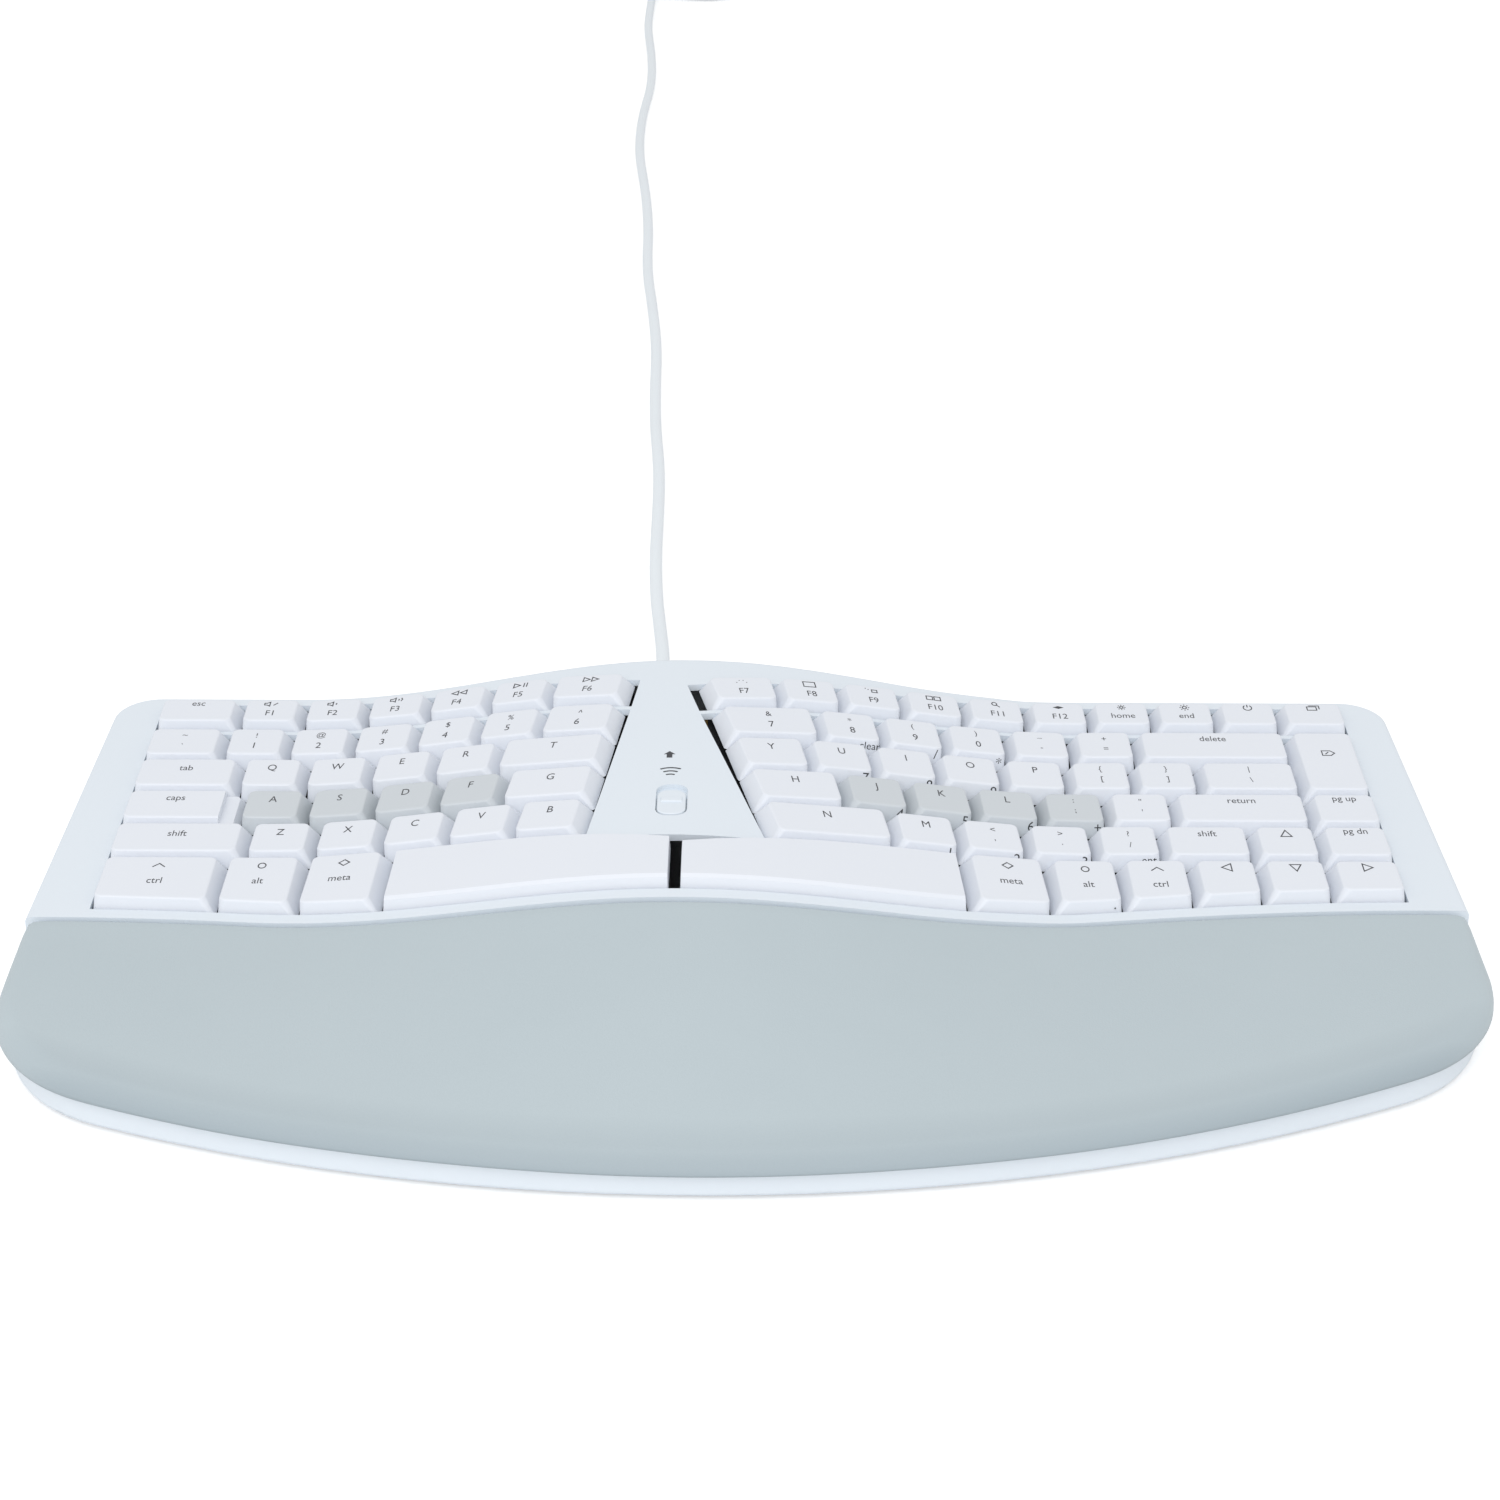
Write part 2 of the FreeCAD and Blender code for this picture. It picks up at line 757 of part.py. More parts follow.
def function_window(half):
    """Opening of one half's function row."""
    front_line = row_y["function"] - key_pitch / 2 + key_gap / 2 - window_gap
    rear_line = front_line + function_depth - key_gap + 2 * window_gap
    outer = window_side(half)
    rear_inner = spine_edge(half, rear_line)
    front_inner = spine_edge(half, front_line)
    rear = row_curve(half, rear_line, outer, rear_inner)
    front = row_curve(half, front_line, front_inner, outer)
    return joined(rear, front)


def main_window():
    """Opening of all the other keys, round the front end of the spine."""
    rear_line = row_y["number"] + key_pitch / 2 - key_gap / 2 + window_gap
    left = window_side("left")
    right = window_side("right")
    left_rear = row_curve("left", rear_line, left, spine_edge("left", rear_line))
    right_rear = row_curve("right", rear_line, spine_edge("right", rear_line), right)
    ends = [Vector(spine_edge(half, end_y), end_y) for half, end_y in spine_end_y.items()]
    spine_front = Part.LineSegment(*ends).toShape()
    right_front = curve_through(lambda x: well_front(x) - window_gap / 2, right, spine_x)
    left_front = curve_through(lambda x: well_front(x) - window_gap / 2, spine_x, left)
    return joined(left_rear, spine_front, right_rear, right_front, left_front)


def key_openings():
    """Solids that cut the windows of the keys through the deck."""
    wires = [function_window("left"), function_window("right"), main_window()]
    return [prism(wire, parting_height + 1, 60) for wire in wires]


def build_top_shell():
    outside = prism(upper_outline(0, 0), parting_height, 60)
    outside = outside.common(below_wave(deck_below_keys))
    inside = prism(upper_outline(shell_wall, shell_wall), parting_height - 1, 60)
    inside = inside.common(below_wave(deck_below_keys + deck_thickness))
    shell = outside.cut(inside)
    shell = shell.cut(key_openings())
    shell = shell.makeFillet(shell_edge_radius, rim_edges(shell))
    shell = shell.fuse(screw_bosses(inside)).removeSplitter()
    for x, y in upper_screws():
        shell = shell.cut(post(screw_radius + 0.05, parting_height - 1, screw_top + 0.5, x, y))
    return shell.cut(knob_opening())


def rim_edges(shell):
    """Upper outer edges along the back and the sides."""
    found = []
    flat = key_top_height - deck_below_keys
    for edge in shell.Edges:
        box = edge.BoundBox
        if box.ZMin < flat - 0.01:
            continue
        at_back = box.YMin > body_back - 0.1
        left = box.XMin < -half_width_back + 0.1 and box.XMax < -150
        right = box.XMax > half_width_back - 0.1 and box.XMin > 150
        if at_back or left or right:
            found.append(edge)
    return found


def upper_screws():
    spots = [spine_screw]
    for y in side_screw_y:
        spots.append((-side_screw_x, y))
        spots.append((side_screw_x, y))
    return spots


def screw_bosses(inside):
    """Posts that hang from the deck to the parting line and take the screws."""
    bosses = []
    for x, y in upper_screws():
        column = post(screw_boss_radius, parting_height, 50, x, y)
        bosses.append(column.common(below_wave(deck_below_keys + 1)))
    return bosses


def rounded_block(x, y, width, length, radius, low, high):
    """Upright block round (x, y) with round upright edges."""
    block = centred_box(width, length, low, high, x, y)
    upright = [edge for edge in block.Edges if edge.BoundBox.ZLength > high - low - 0.01]
    return block.makeFillet(radius, upright)


def knob_deck():
    """Height of the deck where the slide switch's knob sits."""
    return key_height(knob_x, knob_slot_y) - deck_below_keys


def knob_length():
    return knob_slot_size[1] - knob_travel - 2 * knob_gap


def knob_y():
    """Y of the knob's middle at its front stop."""
    return knob_slot_y - knob_slot_size[1] / 2 + knob_gap + knob_length() / 2


def knob_opening():
    """Recess in the spine with round corners, and a narrower slot through the deck."""
    deck = knob_deck()
    width, length = knob_slot_size
    recess = rounded_block(knob_x, knob_slot_y, width, length, knob_slot_corner,
                           deck - knob_recess, deck + 3)
    travel = stem_size[1] + knob_travel + 2 * knob_gap
    slot = centred_box(stem_size[0] + 2 * knob_gap, travel, deck - 6, deck,
                       knob_x, knob_y() + knob_travel / 2)
    return recess.fuse(slot)


def build_knob():
    """Slide knob at its front stop: a plate with a grip ridge, and a stem."""
    deck = knob_deck()
    width = knob_slot_size[0] - 2 * knob_gap
    corner = knob_slot_corner - knob_gap
    low = deck - knob_recess + fit_gap
    top = deck + knob_proud
    plate = rounded_block(knob_x, knob_y(), width, knob_length(), corner, low, top)
    edges = [edge for edge in plate.Edges if edge.BoundBox.ZMin > top - 0.01]
    plate = plate.makeFillet(0.4, edges)
    ridge = centred_box(width - 2.0, 2.6, top - 0.5, top + 0.5, knob_x, knob_y() + 0.9)
    crest = [edge for edge in ridge.Edges if edge.BoundBox.ZMin > top + 0.4]
    ridge = ridge.makeFillet(0.45, crest)
    wide, deep, tall = stem_size
    stem = centred_box(wide, deep, low - tall, low + 0.1, knob_x, knob_y())
    return plate.fuse([ridge, stem]).removeSplitter()


def slide_switch_box(margin):
    width, length, height = slide_body_size
    top = knob_deck() - deck_thickness - fit_gap
    return centred_box(width + 2 * margin, length + 2 * margin, top - height - margin, top + margin,
                       knob_x, knob_y() + knob_travel / 2)


def build_slide_switch():
    """Body of the slide switch under the deck, open at the top for the knob's stem."""
    body = slide_switch_box(0.0)
    top = body.BoundBox.ZMax
    travel = stem_size[1] + knob_travel + 2 * knob_gap
    groove = centred_box(stem_size[0] + 2 * knob_gap, travel, top - stem_size[2], top + 1,
                         knob_x, knob_y() + knob_travel / 2)
    return body.cut(groove)


def ruled_block(rear_y, rear_height, front_y, front_height, low):
    """Solid under a ruled surface between two height curves across the board."""
    wires = []
    reach = 215.0
    for y, height in ((front_y, front_height), (rear_y, rear_height)):
        points = []
        count = 12
        for index in range(count + 1):
            x = spine_x - tent_run + 2 * tent_run * index / count
            points.append(Vector(x, y, height(x)))
        curve = Part.BSplineCurve()
        curve.interpolate(points, InitialTangent=Vector(1, 0, 0), FinalTangent=Vector(1, 0, 0))
        left = Vector(-reach, y, points[0].z)
        right = Vector(reach, y, points[-1].z)
        edges = [
            Part.LineSegment(left, points[0]).toShape(),
            curve.toShape(),
            Part.LineSegment(points[-1], right).toShape(),
            Part.LineSegment(right, Vector(reach, y, low)).toShape(),
            Part.LineSegment(Vector(reach, y, low), Vector(-reach, y, low)).toShape(),
            Part.LineSegment(Vector(-reach, y, low), left).toShape(),
        ]
        wires.append(Part.Wire(edges))
    return Part.makeLoft(wires, True, True)


def palm_bed(x, y):
    """Height of the bed that the palm pad lies on."""
    rear = key_height(x, palm_bed_rear) - deck_below_keys - palm_pad_thickness
    share = (palm_bed_rear - y) / (palm_bed_rear - body_front)
    return rear + (palm_base_front - rear) * share


def palm_height(x, y):
    """Height of the palm pad's top: level with the deck at its rear, low at its front."""
    share = (palm_rear(x) - y) / (palm_rear(x) - body_front)
    share = min(max(share, 0.0), 1.0)
    rear = key_height(x, y) - deck_below_keys
    crown = palm_crown * sin(pi * share)
    return rear + (palm_front_height - rear) * share + crown


def palm_section(x):
    """Wire across the palm pad at x: bed line, rear side, crowned top and rolled front."""
    rear = palm_rear(x) - palm_pad_gap
    front = front_arc_y(x)
    into_side = max(abs(x) - (palm_half_width - palm_roll), 0.0) / palm_roll
    drop = palm_roll * 0.7 * (1 - sqrt(max(1 - into_side ** 2, 0.0)))
    roll = min(palm_roll, (rear - front) / 3)
    points = []
    count = 8
    for index in range(count + 1):
        y = rear + (front + roll - rear) * index / count
        points.append(Vector(x, y, palm_height(x, y) - drop))
    top = Part.BSplineCurve()
    top.interpolate(points)
    front_low = Vector(x, front, palm_bed(x, front) + palm_bed_gap)
    rear_low = Vector(x, rear, palm_bed(x, rear) + palm_bed_gap)
    last = points[-1]
    bulge = Vector(x, front + roll * 0.28, last.z + (front_low.z - last.z) * 0.36)
    edges = [
        Part.LineSegment(rear_low, points[0]).toShape(),
        top.toShape(),
        Part.Arc(last, bulge, front_low).toShape(),
        Part.LineSegment(front_low, rear_low).toShape(),
    ]
    return Part.Wire(edges)


def build_palm_pad():
    inner = palm_half_width - palm_roll
    stations = []
    for share in (0.93, 0.72, 0.4):
        stations.append(-(inner + palm_roll * share))
    count = 22
    for index in range(count + 1):
        stations.append(-inner + 2 * inner * index / count)
    for share in (0.4, 0.72, 0.93):
        stations.append(inner + palm_roll * share)
    sections = [palm_section(x) for x in stations]
    return Part.makeLoft(sections, True, False)


def bed_block(offset, low):
    rear = lambda x: palm_bed(x, palm_bed_rear) - offset
    front = lambda x: palm_base_front - offset
    return ruled_block(palm_bed_rear, rear, body_front, front, low)


def palm_region(side_margin, palm_margin, rear_margin, low, high):
    """Plan of the palm rest, from the strip behind it to the rim."""
    block = body_prism(side_margin, palm_margin, low, high)
    reach = 230.0
    rear = curve_through(lambda x: palm_rear(x) - rear_margin, -reach, reach, 14)
    front_left = Vector(-reach, body_front - 30)
    front_right = Vector(reach, body_front - 30)
    base = Part.LineSegment(front_right, front_left).toShape()
    return block.common(prism(joined(rear, base), low, high))


def build_palm_plate():
    """Carrier under the palm pad, open underneath, with posts for its screws."""
    outside = palm_region(side_inset, rim_inset, fit_gap, parting_height, 40).common(bed_block(0, 0))
    wall = palm_plate_thickness
    inside = palm_region(side_inset + wall, rim_inset + wall, fit_gap + wall, parting_height - 1, 40)
    plate = outside.cut(inside.common(bed_block(wall, 0)))
    for x, y in palm_screws:
        column = post(screw_boss_radius, parting_height, 40, x, y).common(bed_block(1, 0))
        plate = plate.fuse(column)
    plate = plate.removeSplitter()
    for x, y in palm_screws:
        depth = palm_bed(x, y) - 1.2
        plate = plate.cut(post(screw_radius + 0.05, parting_height - 1, depth, x, y))
    return plate


def support_spots():
    """Places of the posts that carry the circuit boards, between the switches."""
    spots = []
    for half, xs in (("left", (-152.0, -95.0, -50.0)), ("right", (22.0, 74.0, 152.0))):
        for x in xs:
            for row in ("function", "bottom"):
                y = row_y[row] - dip(half, x) - key_pitch / 2
                spots.append((x, y))
    return spots


def build_bottom_shell():
    outside = body_prism(side_inset, rim_inset, foot_height, parting_height)
    lower = [edge for edge in outside.Edges if edge.BoundBox.ZMax < foot_height + 0.01]
    outside = outside.makeFillet(1.8, lower)
    floor = foot_height + shell_floor
    inside = body_prism(side_inset + shell_wall, rim_inset + shell_wall, floor, parting_height + 1)
    shell = outside.cut(inside)
    added = []
    for x, y in upper_screws() + palm_screws:
        added.append(post(screw_boss_radius, floor, parting_height, x, y))
    for x, y in support_spots():
        under_board = key_height(x, y) - board_bottom() - fit_gap
        added.append(post(post_radius, floor, under_board, x, y))
    for sign in (-1, 1):
        added.append(tilt_pocket(sign, tilt_pocket_wall, floor - 0.5))
    shell = shell.fuse(added)
    cuts = []
    for x, y in upper_screws() + palm_screws:
        cuts.append(post(screw_radius + 0.3, 0, parting_height + 1, x, y))
        cuts.append(post(screw_head_radius + 0.3, 0, foot_height + screw_head_height + 0.2, x, y))
    for x, y in foot_spots:
        cuts.append(post(foot_radius + 0.1, 0, foot_height + foot_recess, x, y))
    for sign in (-1, 1):
        cuts.append(tilt_pocket(sign, 0.0, 0.0))
        pin_y = tilt_hinge_y
        length = tilt_foot_size[0] + 3.0
        start = Vector(sign * tilt_foot_x - length / 2, pin_y, tilt_hinge_z)
        cuts.append(Part.makeCylinder(tilt_pin_radius, length, start, Vector(1, 0, 0)))
    width, depth, height = socket_size
    port = Part.makeBox(width + 0.6, 8, height + 0.6)
    port.translate(Vector(socket_x - width / 2 - 0.3, body_back - 6, socket_z - height / 2 - 0.3))
    cuts.append(port)
    return shell.cut(cuts).removeSplitter()


def tilt_pocket(sign, wall, low):
    """Block round a folded foot; with no wall it is the foot's recess."""
    width, length, height = tilt_foot_size
    gap = 0.4
    x = sign * tilt_foot_x - width / 2 - gap - wall
    y = tilt_hinge_y - length - gap - wall
    top = tilt_hinge_z + tilt_barrel + 0.35 + (1.2 if wall else 0.0)
    depth = length + tilt_hinge_room + gap + 2 * wall
    return Part.makeBox(width + 2 * gap + 2 * wall, depth, top - low, Vector(x, y, low))


def build_tilt_foot(sign):
    """Folding foot: a plate with a barrel round its pin and a finger notch."""
    width, length, height = tilt_foot_size
    x = sign * tilt_foot_x
    low = tilt_hinge_z - tilt_barrel
    plate = Part.makeBox(width, length, height, Vector(x - width / 2, tilt_hinge_y - length, low))
    barrel = Part.makeCylinder(tilt_barrel, width, Vector(x - width / 2, tilt_hinge_y, tilt_hinge_z),
                               Vector(1, 0, 0))
    notch = post(4.0, low - 1, low + height + 1, x, tilt_hinge_y - length)
    hole = Part.makeCylinder(tilt_pin_radius + 0.05, width + 2,
                             Vector(x - width / 2 - 1, tilt_hinge_y, tilt_hinge_z), Vector(1, 0, 0))
    return plate.fuse(barrel).cut(notch).cut(hole).removeSplitter()


def build_tilt_pins():
    pins = []
    length = tilt_foot_size[0] + 3.0
    for sign in (-1, 1):
        start = Vector(sign * tilt_foot_x - length / 2, tilt_hinge_y, tilt_hinge_z)
        pins.append(Part.makeCylinder(tilt_pin_radius, length, start, Vector(1, 0, 0)))
    return Part.makeCompound(pins)


def board_bottom():
    """Depth of a circuit board's underside below the key tops."""
    return switch_bottom + board_gap + board_thickness


def field_prism(half, margin):
    """Plan of one half's switch plate or board, inside the shell."""
    sign = side_sign(half)
    outer = outer_x[half] + sign * (0.6 - margin)
    inner = spine_x + sign * board_spine_gap
    rear_line = row_y["function"] + key_pitch / 2 - margin
    rear = curve_through(lambda x: rear_line - dip(half, x), outer, inner)
    front = curve_through(lambda x: well_front(x) + 1.0 + margin, inner, outer)
    return prism(joined(rear, front), parting_height - 8, 60)


def all_keys(half=None):
    found = [key for key in keys.values() if half in (None, key.half)]
    for side in ("left", "right"):
        if half in (None, side):
            found.append(space_key(side))
    return found


def centred_box(width, depth, low, high, x, y):
    return Part.makeBox(width, depth, high - low, Vector(x - width / 2, y - depth / 2, low))


def build_switch_plates():
    """One curved steel plate per half, with a square hole for every switch."""
    slab = below_wave(plate_top).cut(below_wave(plate_top + plate_thickness, -1.0))
    plates = []
    for half in ("left", "right"):
        plate = slab.common(field_prism(half, 0.0))
        holes = [slide_switch_box(slide_bay_gap)]
        for key in all_keys(half):
            for index, (x, y) in enumerate(post_spots(key)):
                width, depth = (switch_body, switch_body) if index == 0 else stabiliser_size
                gap = 2 * switch_hole_gap
                hole = centred_box(width + gap, depth + gap, -plate_top - 3, -plate_top + 2, x, y)
                hole.Placement = key.place
                holes.append(hole)
        plates.append(plate.cut(holes))
    return Part.makeCompound([solid for plate in plates for solid in plate.Solids])


def build_board(half):
    top = switch_bottom + board_gap
    slab = below_wave(top).cut(below_wave(top + board_thickness, -1.0))
    return slab.common(field_prism(half, 2.0)).cut(slide_switch_box(slide_bay_gap))


def build_switch_housings():
    """Fixed part of every switch: a body through the plate, a flange and a bore."""
    flange_low = -plate_top + 0.25
    housings = []
    for key in all_keys():
        x, y = post_spots(key)[0]
        body = centred_box(switch_body, switch_body, -switch_bottom, flange_low, x, y)
        flange = centred_box(switch_flange, switch_flange, flange_low,
                             flange_low + switch_flange_height, x, y)
        upper = centred_box(switch_upper, switch_upper, flange_low, -switch_top, x, y)
        bore = post(switch_bore_radius, -bore_floor, 0, x, y)
        housing = body.fuse([flange, upper]).cut(bore).removeSplitter()
        housing.Placement = key.place
        housings.append(housing)
    return Part.makeCompound(housings)


def build_stabilisers():
    """Guides beside the switch of each long key, and the wire that joins them."""
    pieces = []
    width, depth = stabiliser_size
    for key in all_keys():
        if key.name not in stabilised:
            continue
        reach = stabilised[key.name]
        middle = key.middle()
        for sign in (-1, 1):
            guide = centred_box(width, depth, -stabiliser_bottom, -stabiliser_top,
                                sign * reach, middle)
            bore = post(switch_bore_radius, -bore_floor, 0, sign * reach, middle)
            guide = guide.cut(bore)
            guide.Placement = key.place
            pieces.append(guide)
        wire_y = middle - switch_body / 2 - wire_radius - fit_gap
        wire_z = wire_radius - stabiliser_bottom
        end_y = middle - depth / 2
        line = [(-reach, end_y, wire_z), (-reach, wire_y, wire_z),
                (reach, wire_y, wire_z), (reach, end_y, wire_z)]
        wire = tube_along(rounded_path(line)[0], wire_radius)
        wire.Placement = key.place
        pieces.append(wire)
    return Part.makeCompound(pieces)


def build_battery():
    width, depth, height = battery_size
    x, y = battery_corner
    low = foot_height + shell_floor + fit_gap
    cell = Part.makeBox(width, depth, height, Vector(x, y, low))
    upright = [edge for edge in cell.Edges if edge.BoundBox.ZLength > height - 0.01]
    return cell.makeFillet(2.0, upright)


def build_controller_board():
    width, depth, height = controller_size
    top = socket_z - socket_size[2] / 2
    return Part.makeBox(width, depth, height,
                        Vector(socket_x - width / 2, body_back - 4 - depth, top - height))


def build_usb_socket():
    """Steel shell of the port, with the opening that takes the plug."""
    width, depth, height = socket_size
    front = body_back - 1.2
    shell = Part.makeBox(width, depth, height,
                         Vector(socket_x - width / 2, front - depth, socket_z - height / 2))
    mouth = Part.makeBox(shell_size[0] + 0.1, depth, shell_size[1] + 0.1)
    mouth.translate(Vector(socket_x - shell_size[0] / 2 - 0.05, front - depth + 0.8,
                           socket_z - shell_size[1] / 2 - 0.05))
    return shell.cut(mouth)


def build_link_cable():
    """Flat ribbon that joins the two boards under the spine."""
    top = board_bottom() + 0.1
    slab = below_wave(top).cut(below_wave(top + 0.3, -1.0))
    width = 2 * board_spine_gap + 16
    cutter = Part.makeBox(width, link_width, 60, Vector(spine_x - width / 2, link_y, 0))
    return slab.common(cutter)


def build_rubber_feet():
    feet = [post(foot_radius, 0, foot_height + foot_recess, x, y) for x, y in foot_spots]
    rounded = []
    for foot in feet:
        low = [edge for edge in foot.Edges if edge.BoundBox.ZMax < 0.01]
        rounded.append(foot.makeChamfer(0.3, low))
    return Part.makeCompound(rounded)


def build_case_screws():
    """Cross-head screws that hold the shells and the palm plate."""
    screws = []
    head_low = foot_height + 0.2
    head_top = head_low + screw_head_height
    for x, y in upper_screws() + palm_screws:
        top = screw_top
        if (x, y) in palm_screws:
            top = palm_bed(x, y) - 1.5
        screw = post(screw_head_radius, head_low, head_top, x, y)
        screw = screw.fuse(post(screw_radius, head_top, top, x, y))
        slot = centred_box(3.2, 0.8, head_low - 0.1, head_low + 0.6, x, y)
        cross = centred_box(0.8, 3.2, head_low - 0.1, head_low + 0.6, x, y)
        screws.append(screw.cut([slot, cross]).removeSplitter())
    return Part.makeCompound(screws)


def build_usb_c_plug():
    """Plug at the keyboard: metal tongue, moulded grip and tapered strain relief."""
    start = body_back + fit_gap
    grip = Part.makeBox(plug_width, plug_length, plug_height,
                        Vector(socket_x - plug_width / 2, start, socket_z - plug_height / 2))
    long_edges = [edge for edge in grip.Edges if edge.BoundBox.YLength > plug_length - 0.01]
    grip = grip.makeFillet(2.6, long_edges)
    relief = Part.makeCone(3.0, cord_diameter / 2 + 0.35, relief_length,
                           Vector(socket_x, start + plug_length, socket_z), Vector(0, 1, 0))
    grip = grip.fuse(relief)
    tongue = Part.makeBox(shell_size[0], 6.4, shell_size[1])
    tongue.translate(Vector(socket_x - shell_size[0] / 2, start - 6.4, socket_z - shell_size[1] / 2))
    return Part.makeCompound([grip, tongue])


# The cable's line on the desk, from the strain relief to the coil
cord_start_y = body_back + fit_gap + plug_length + relief_length
cord_z = cord_diameter / 2 + 0.05
coil_z = cord_diameter / 2 + coil_lift
cord_route = [
    (socket_x, cord_start_y, socket_z),
    (socket_x, 168.0, socket_z),
    (-28.9, 186.0, 4.4),
    (-30.2, 204.0, 2.6),
    (-31.9, 226.0, cord_z),
    (-33.2, 260.0, cord_z),
    (-33.3, 298.0, cord_z),
    (-33.9, 337.0, cord_z),
    (-36.6, 378.0, cord_z),
    (-37.9, 420.0, cord_z),
    (-38.4, 462.0, cord_z),
    (-41.2, 508.0, cord_z),
    (-45.6, 560.0, cord_z),
    (-46.4, 616.0, cord_z),
    (-49.6, 672.0, cord_z),
    (-54.8, 730.0, cord_z),
    (-55.2, 790.0, cord_z),
    (-51.8, 848.0, cord_z),
    (-53.6, 905.0, cord_z),
    (-57.6, 958.0, cord_z),
    (coil_centre[0] - coil_radius, 1006.0, coil_z),
    (coil_centre[0] - coil_radius, coil_centre[1] - cord_diameter, coil_z),
]


def rounded_path(points):
    """Straight runs joined by tangent arcs; returns the wire and the arcs' radii."""
    spots = [Vector(*point) for point in points]
    edges = []
    radii = []
    start = spots[0]
    for before, corner, after in zip(spots, spots[1:], spots[2:]):
        to_before = (before - corner).normalize()
        to_after = (after - corner).normalize()
        turn = pi - to_before.getAngle(to_after)
        reach = cord_arc_share * min((before - corner).Length, (after - corner).Length)
        radius = reach / (sin(turn / 2) / cos(turn / 2))
        radii.append(radius)
        first = corner + to_before * reach
        last = corner + to_after * reach
        middle = (to_before + to_after).normalize()
        sag = radius / cos(turn / 2) - radius
        edges.append(Part.LineSegment(start, first).toShape())
        edges.append(Part.Arc(first, corner + middle * sag, last).toShape())
        start = last
    edges.append(Part.LineSegment(start, spots[-1]).toShape())
    return Part.Wire(edges), radii


def tube_along(wire, radius):
    start = wire.Edges[0].valueAt(wire.Edges[0].FirstParameter)
    tangent = wire.Edges[0].tangentAt(wire.Edges[0].FirstParameter)
    circle = Part.Wire(Part.Circle(start, tangent, radius).toShape())
    return wire.makePipeShell([circle], True, False)


def one_arc(start, tangent, end):
    """Circular arc from start along tangent to end, or a straight line."""
    chord = end - start
    side = chord - tangent * chord.dot(tangent)
    if side.Length < 1e-4:
        return Part.LineSegment(start, end).toShape()
    side.normalize()
    radius = chord.Length ** 2 / (2 * chord.dot(side))
    centre = start + side * radius
    outward = ((start - centre) + (end - centre)).normalize()
    return Part.Arc(start, centre + outward * radius, end).toShape()


def biarc(start, start_tangent, end, end_tangent):
    """Two arcs that leave start and reach end along the given directions."""
    chord = end - start
    both = start_tangent + end_tangent
    a = 2 * (1 - start_tangent.dot(end_tangent))
    b = chord.dot(both)
    if a < 1e-6:
        reach = chord.Length ** 2 / (4 * chord.dot(end_tangent))
    else:
        reach = (-b + sqrt(b * b + a * chord.dot(chord))) / a
    joint = (start + start_tangent * reach + end - end_tangent * reach) * 0.5
    first = one_arc(start, start_tangent, joint)
    second = one_arc(end, end_tangent * -1, joint)
    return [first, second]


def coil_point(turn):
    """Point of the coil after so many turns: in on the lower layer, out on the upper."""
    climb_start = coil_turns
    climb_end = coil_turns + 0.5
    total = 2 * coil_turns + 0.5
    if turn < climb_start:
        radius = coil_radius - coil_pitch * turn
        share = 0.0
    elif turn < climb_end:
        share = (turn - climb_start) / 0.5
        radius = coil_radius - coil_pitch * coil_turns - climb_tuck * sin(pi * share) ** 2
    else:
        radius = coil_radius - coil_pitch * (total - turn)
        share = 1.0
    angle = pi - 2 * pi * turn
    height = coil_z + coil_layer * (1 - fade(share))
    return Vector(coil_centre[0] + radius * cos(angle), coil_centre[1] + radius * sin(angle), height)


def coil_direction(turn):
    step = 0.002
    total = 2 * coil_turns + 0.5
    if turn <= 0 or turn >= total:
        return Vector(0, 1, 0)
    return (coil_point(turn + step) - coil_point(turn - step)).normalize()


def coil_wire():
    """Coil of quarter-turn biarcs, and the tail that drops to the plug."""
    total = 2 * coil_turns + 0.5
    count = int(round(total * 4))
    lead = Vector(0, cord_diameter, 0)
    start = coil_point(0)
    edges = [Part.LineSegment(start - lead, start).toShape()]
    for index in range(count):
        first = index * total / count
        last = (index + 1) * total / count
        edges += biarc(coil_point(first), coil_direction(first), coil_point(last), coil_direction(last))
    tail_start = coil_point(total)
    tail_end = Vector(tail_start.x - 2.0, tail_start.y + tail_length, usb_a_grip[1] / 2 + 0.1)
    edges += biarc(tail_start, Vector(0, 1, 0), tail_end, Vector(0, 1, 0))
    edges.append(Part.LineSegment(tail_end, tail_end + lead).toShape())
    return Part.Wire(edges), tail_end + lead


def least_gap(wire):
    """Least distance between turns of the coil, measured on points along it."""
    points = wire.discretize(Distance=1.0)
    skip = int(pi * coil_radius * 0.6)
    least = 1e9
    for index, point in enumerate(points):
        for other in points[index + skip:]:
            least = min(least, point.distanceToPoint(other))
    return least - cord_diameter


def build_cable():
    wire, radii = rounded_path(cord_route)
    tube = tube_along(wire, cord_diameter / 2)
    area = pi * cord_diameter ** 2 / 4
    print("cable radii", [round(radius) for radius in radii])
    print("cable length", round(wire.Length, 1), "volume share", round(tube.Volume / area / wire.Length, 4))
    return tube


def build_coil():
    wire, end = coil_wire()
    tube = tube_along(wire, cord_diameter / 2)
    area = pi * cord_diameter ** 2 / 4
    print("coil length", round(wire.Length, 1), "volume share", round(tube.Volume / area / wire.Length, 4))
    print("least gap between turns", round(least_gap(wire), 2))
    return tube


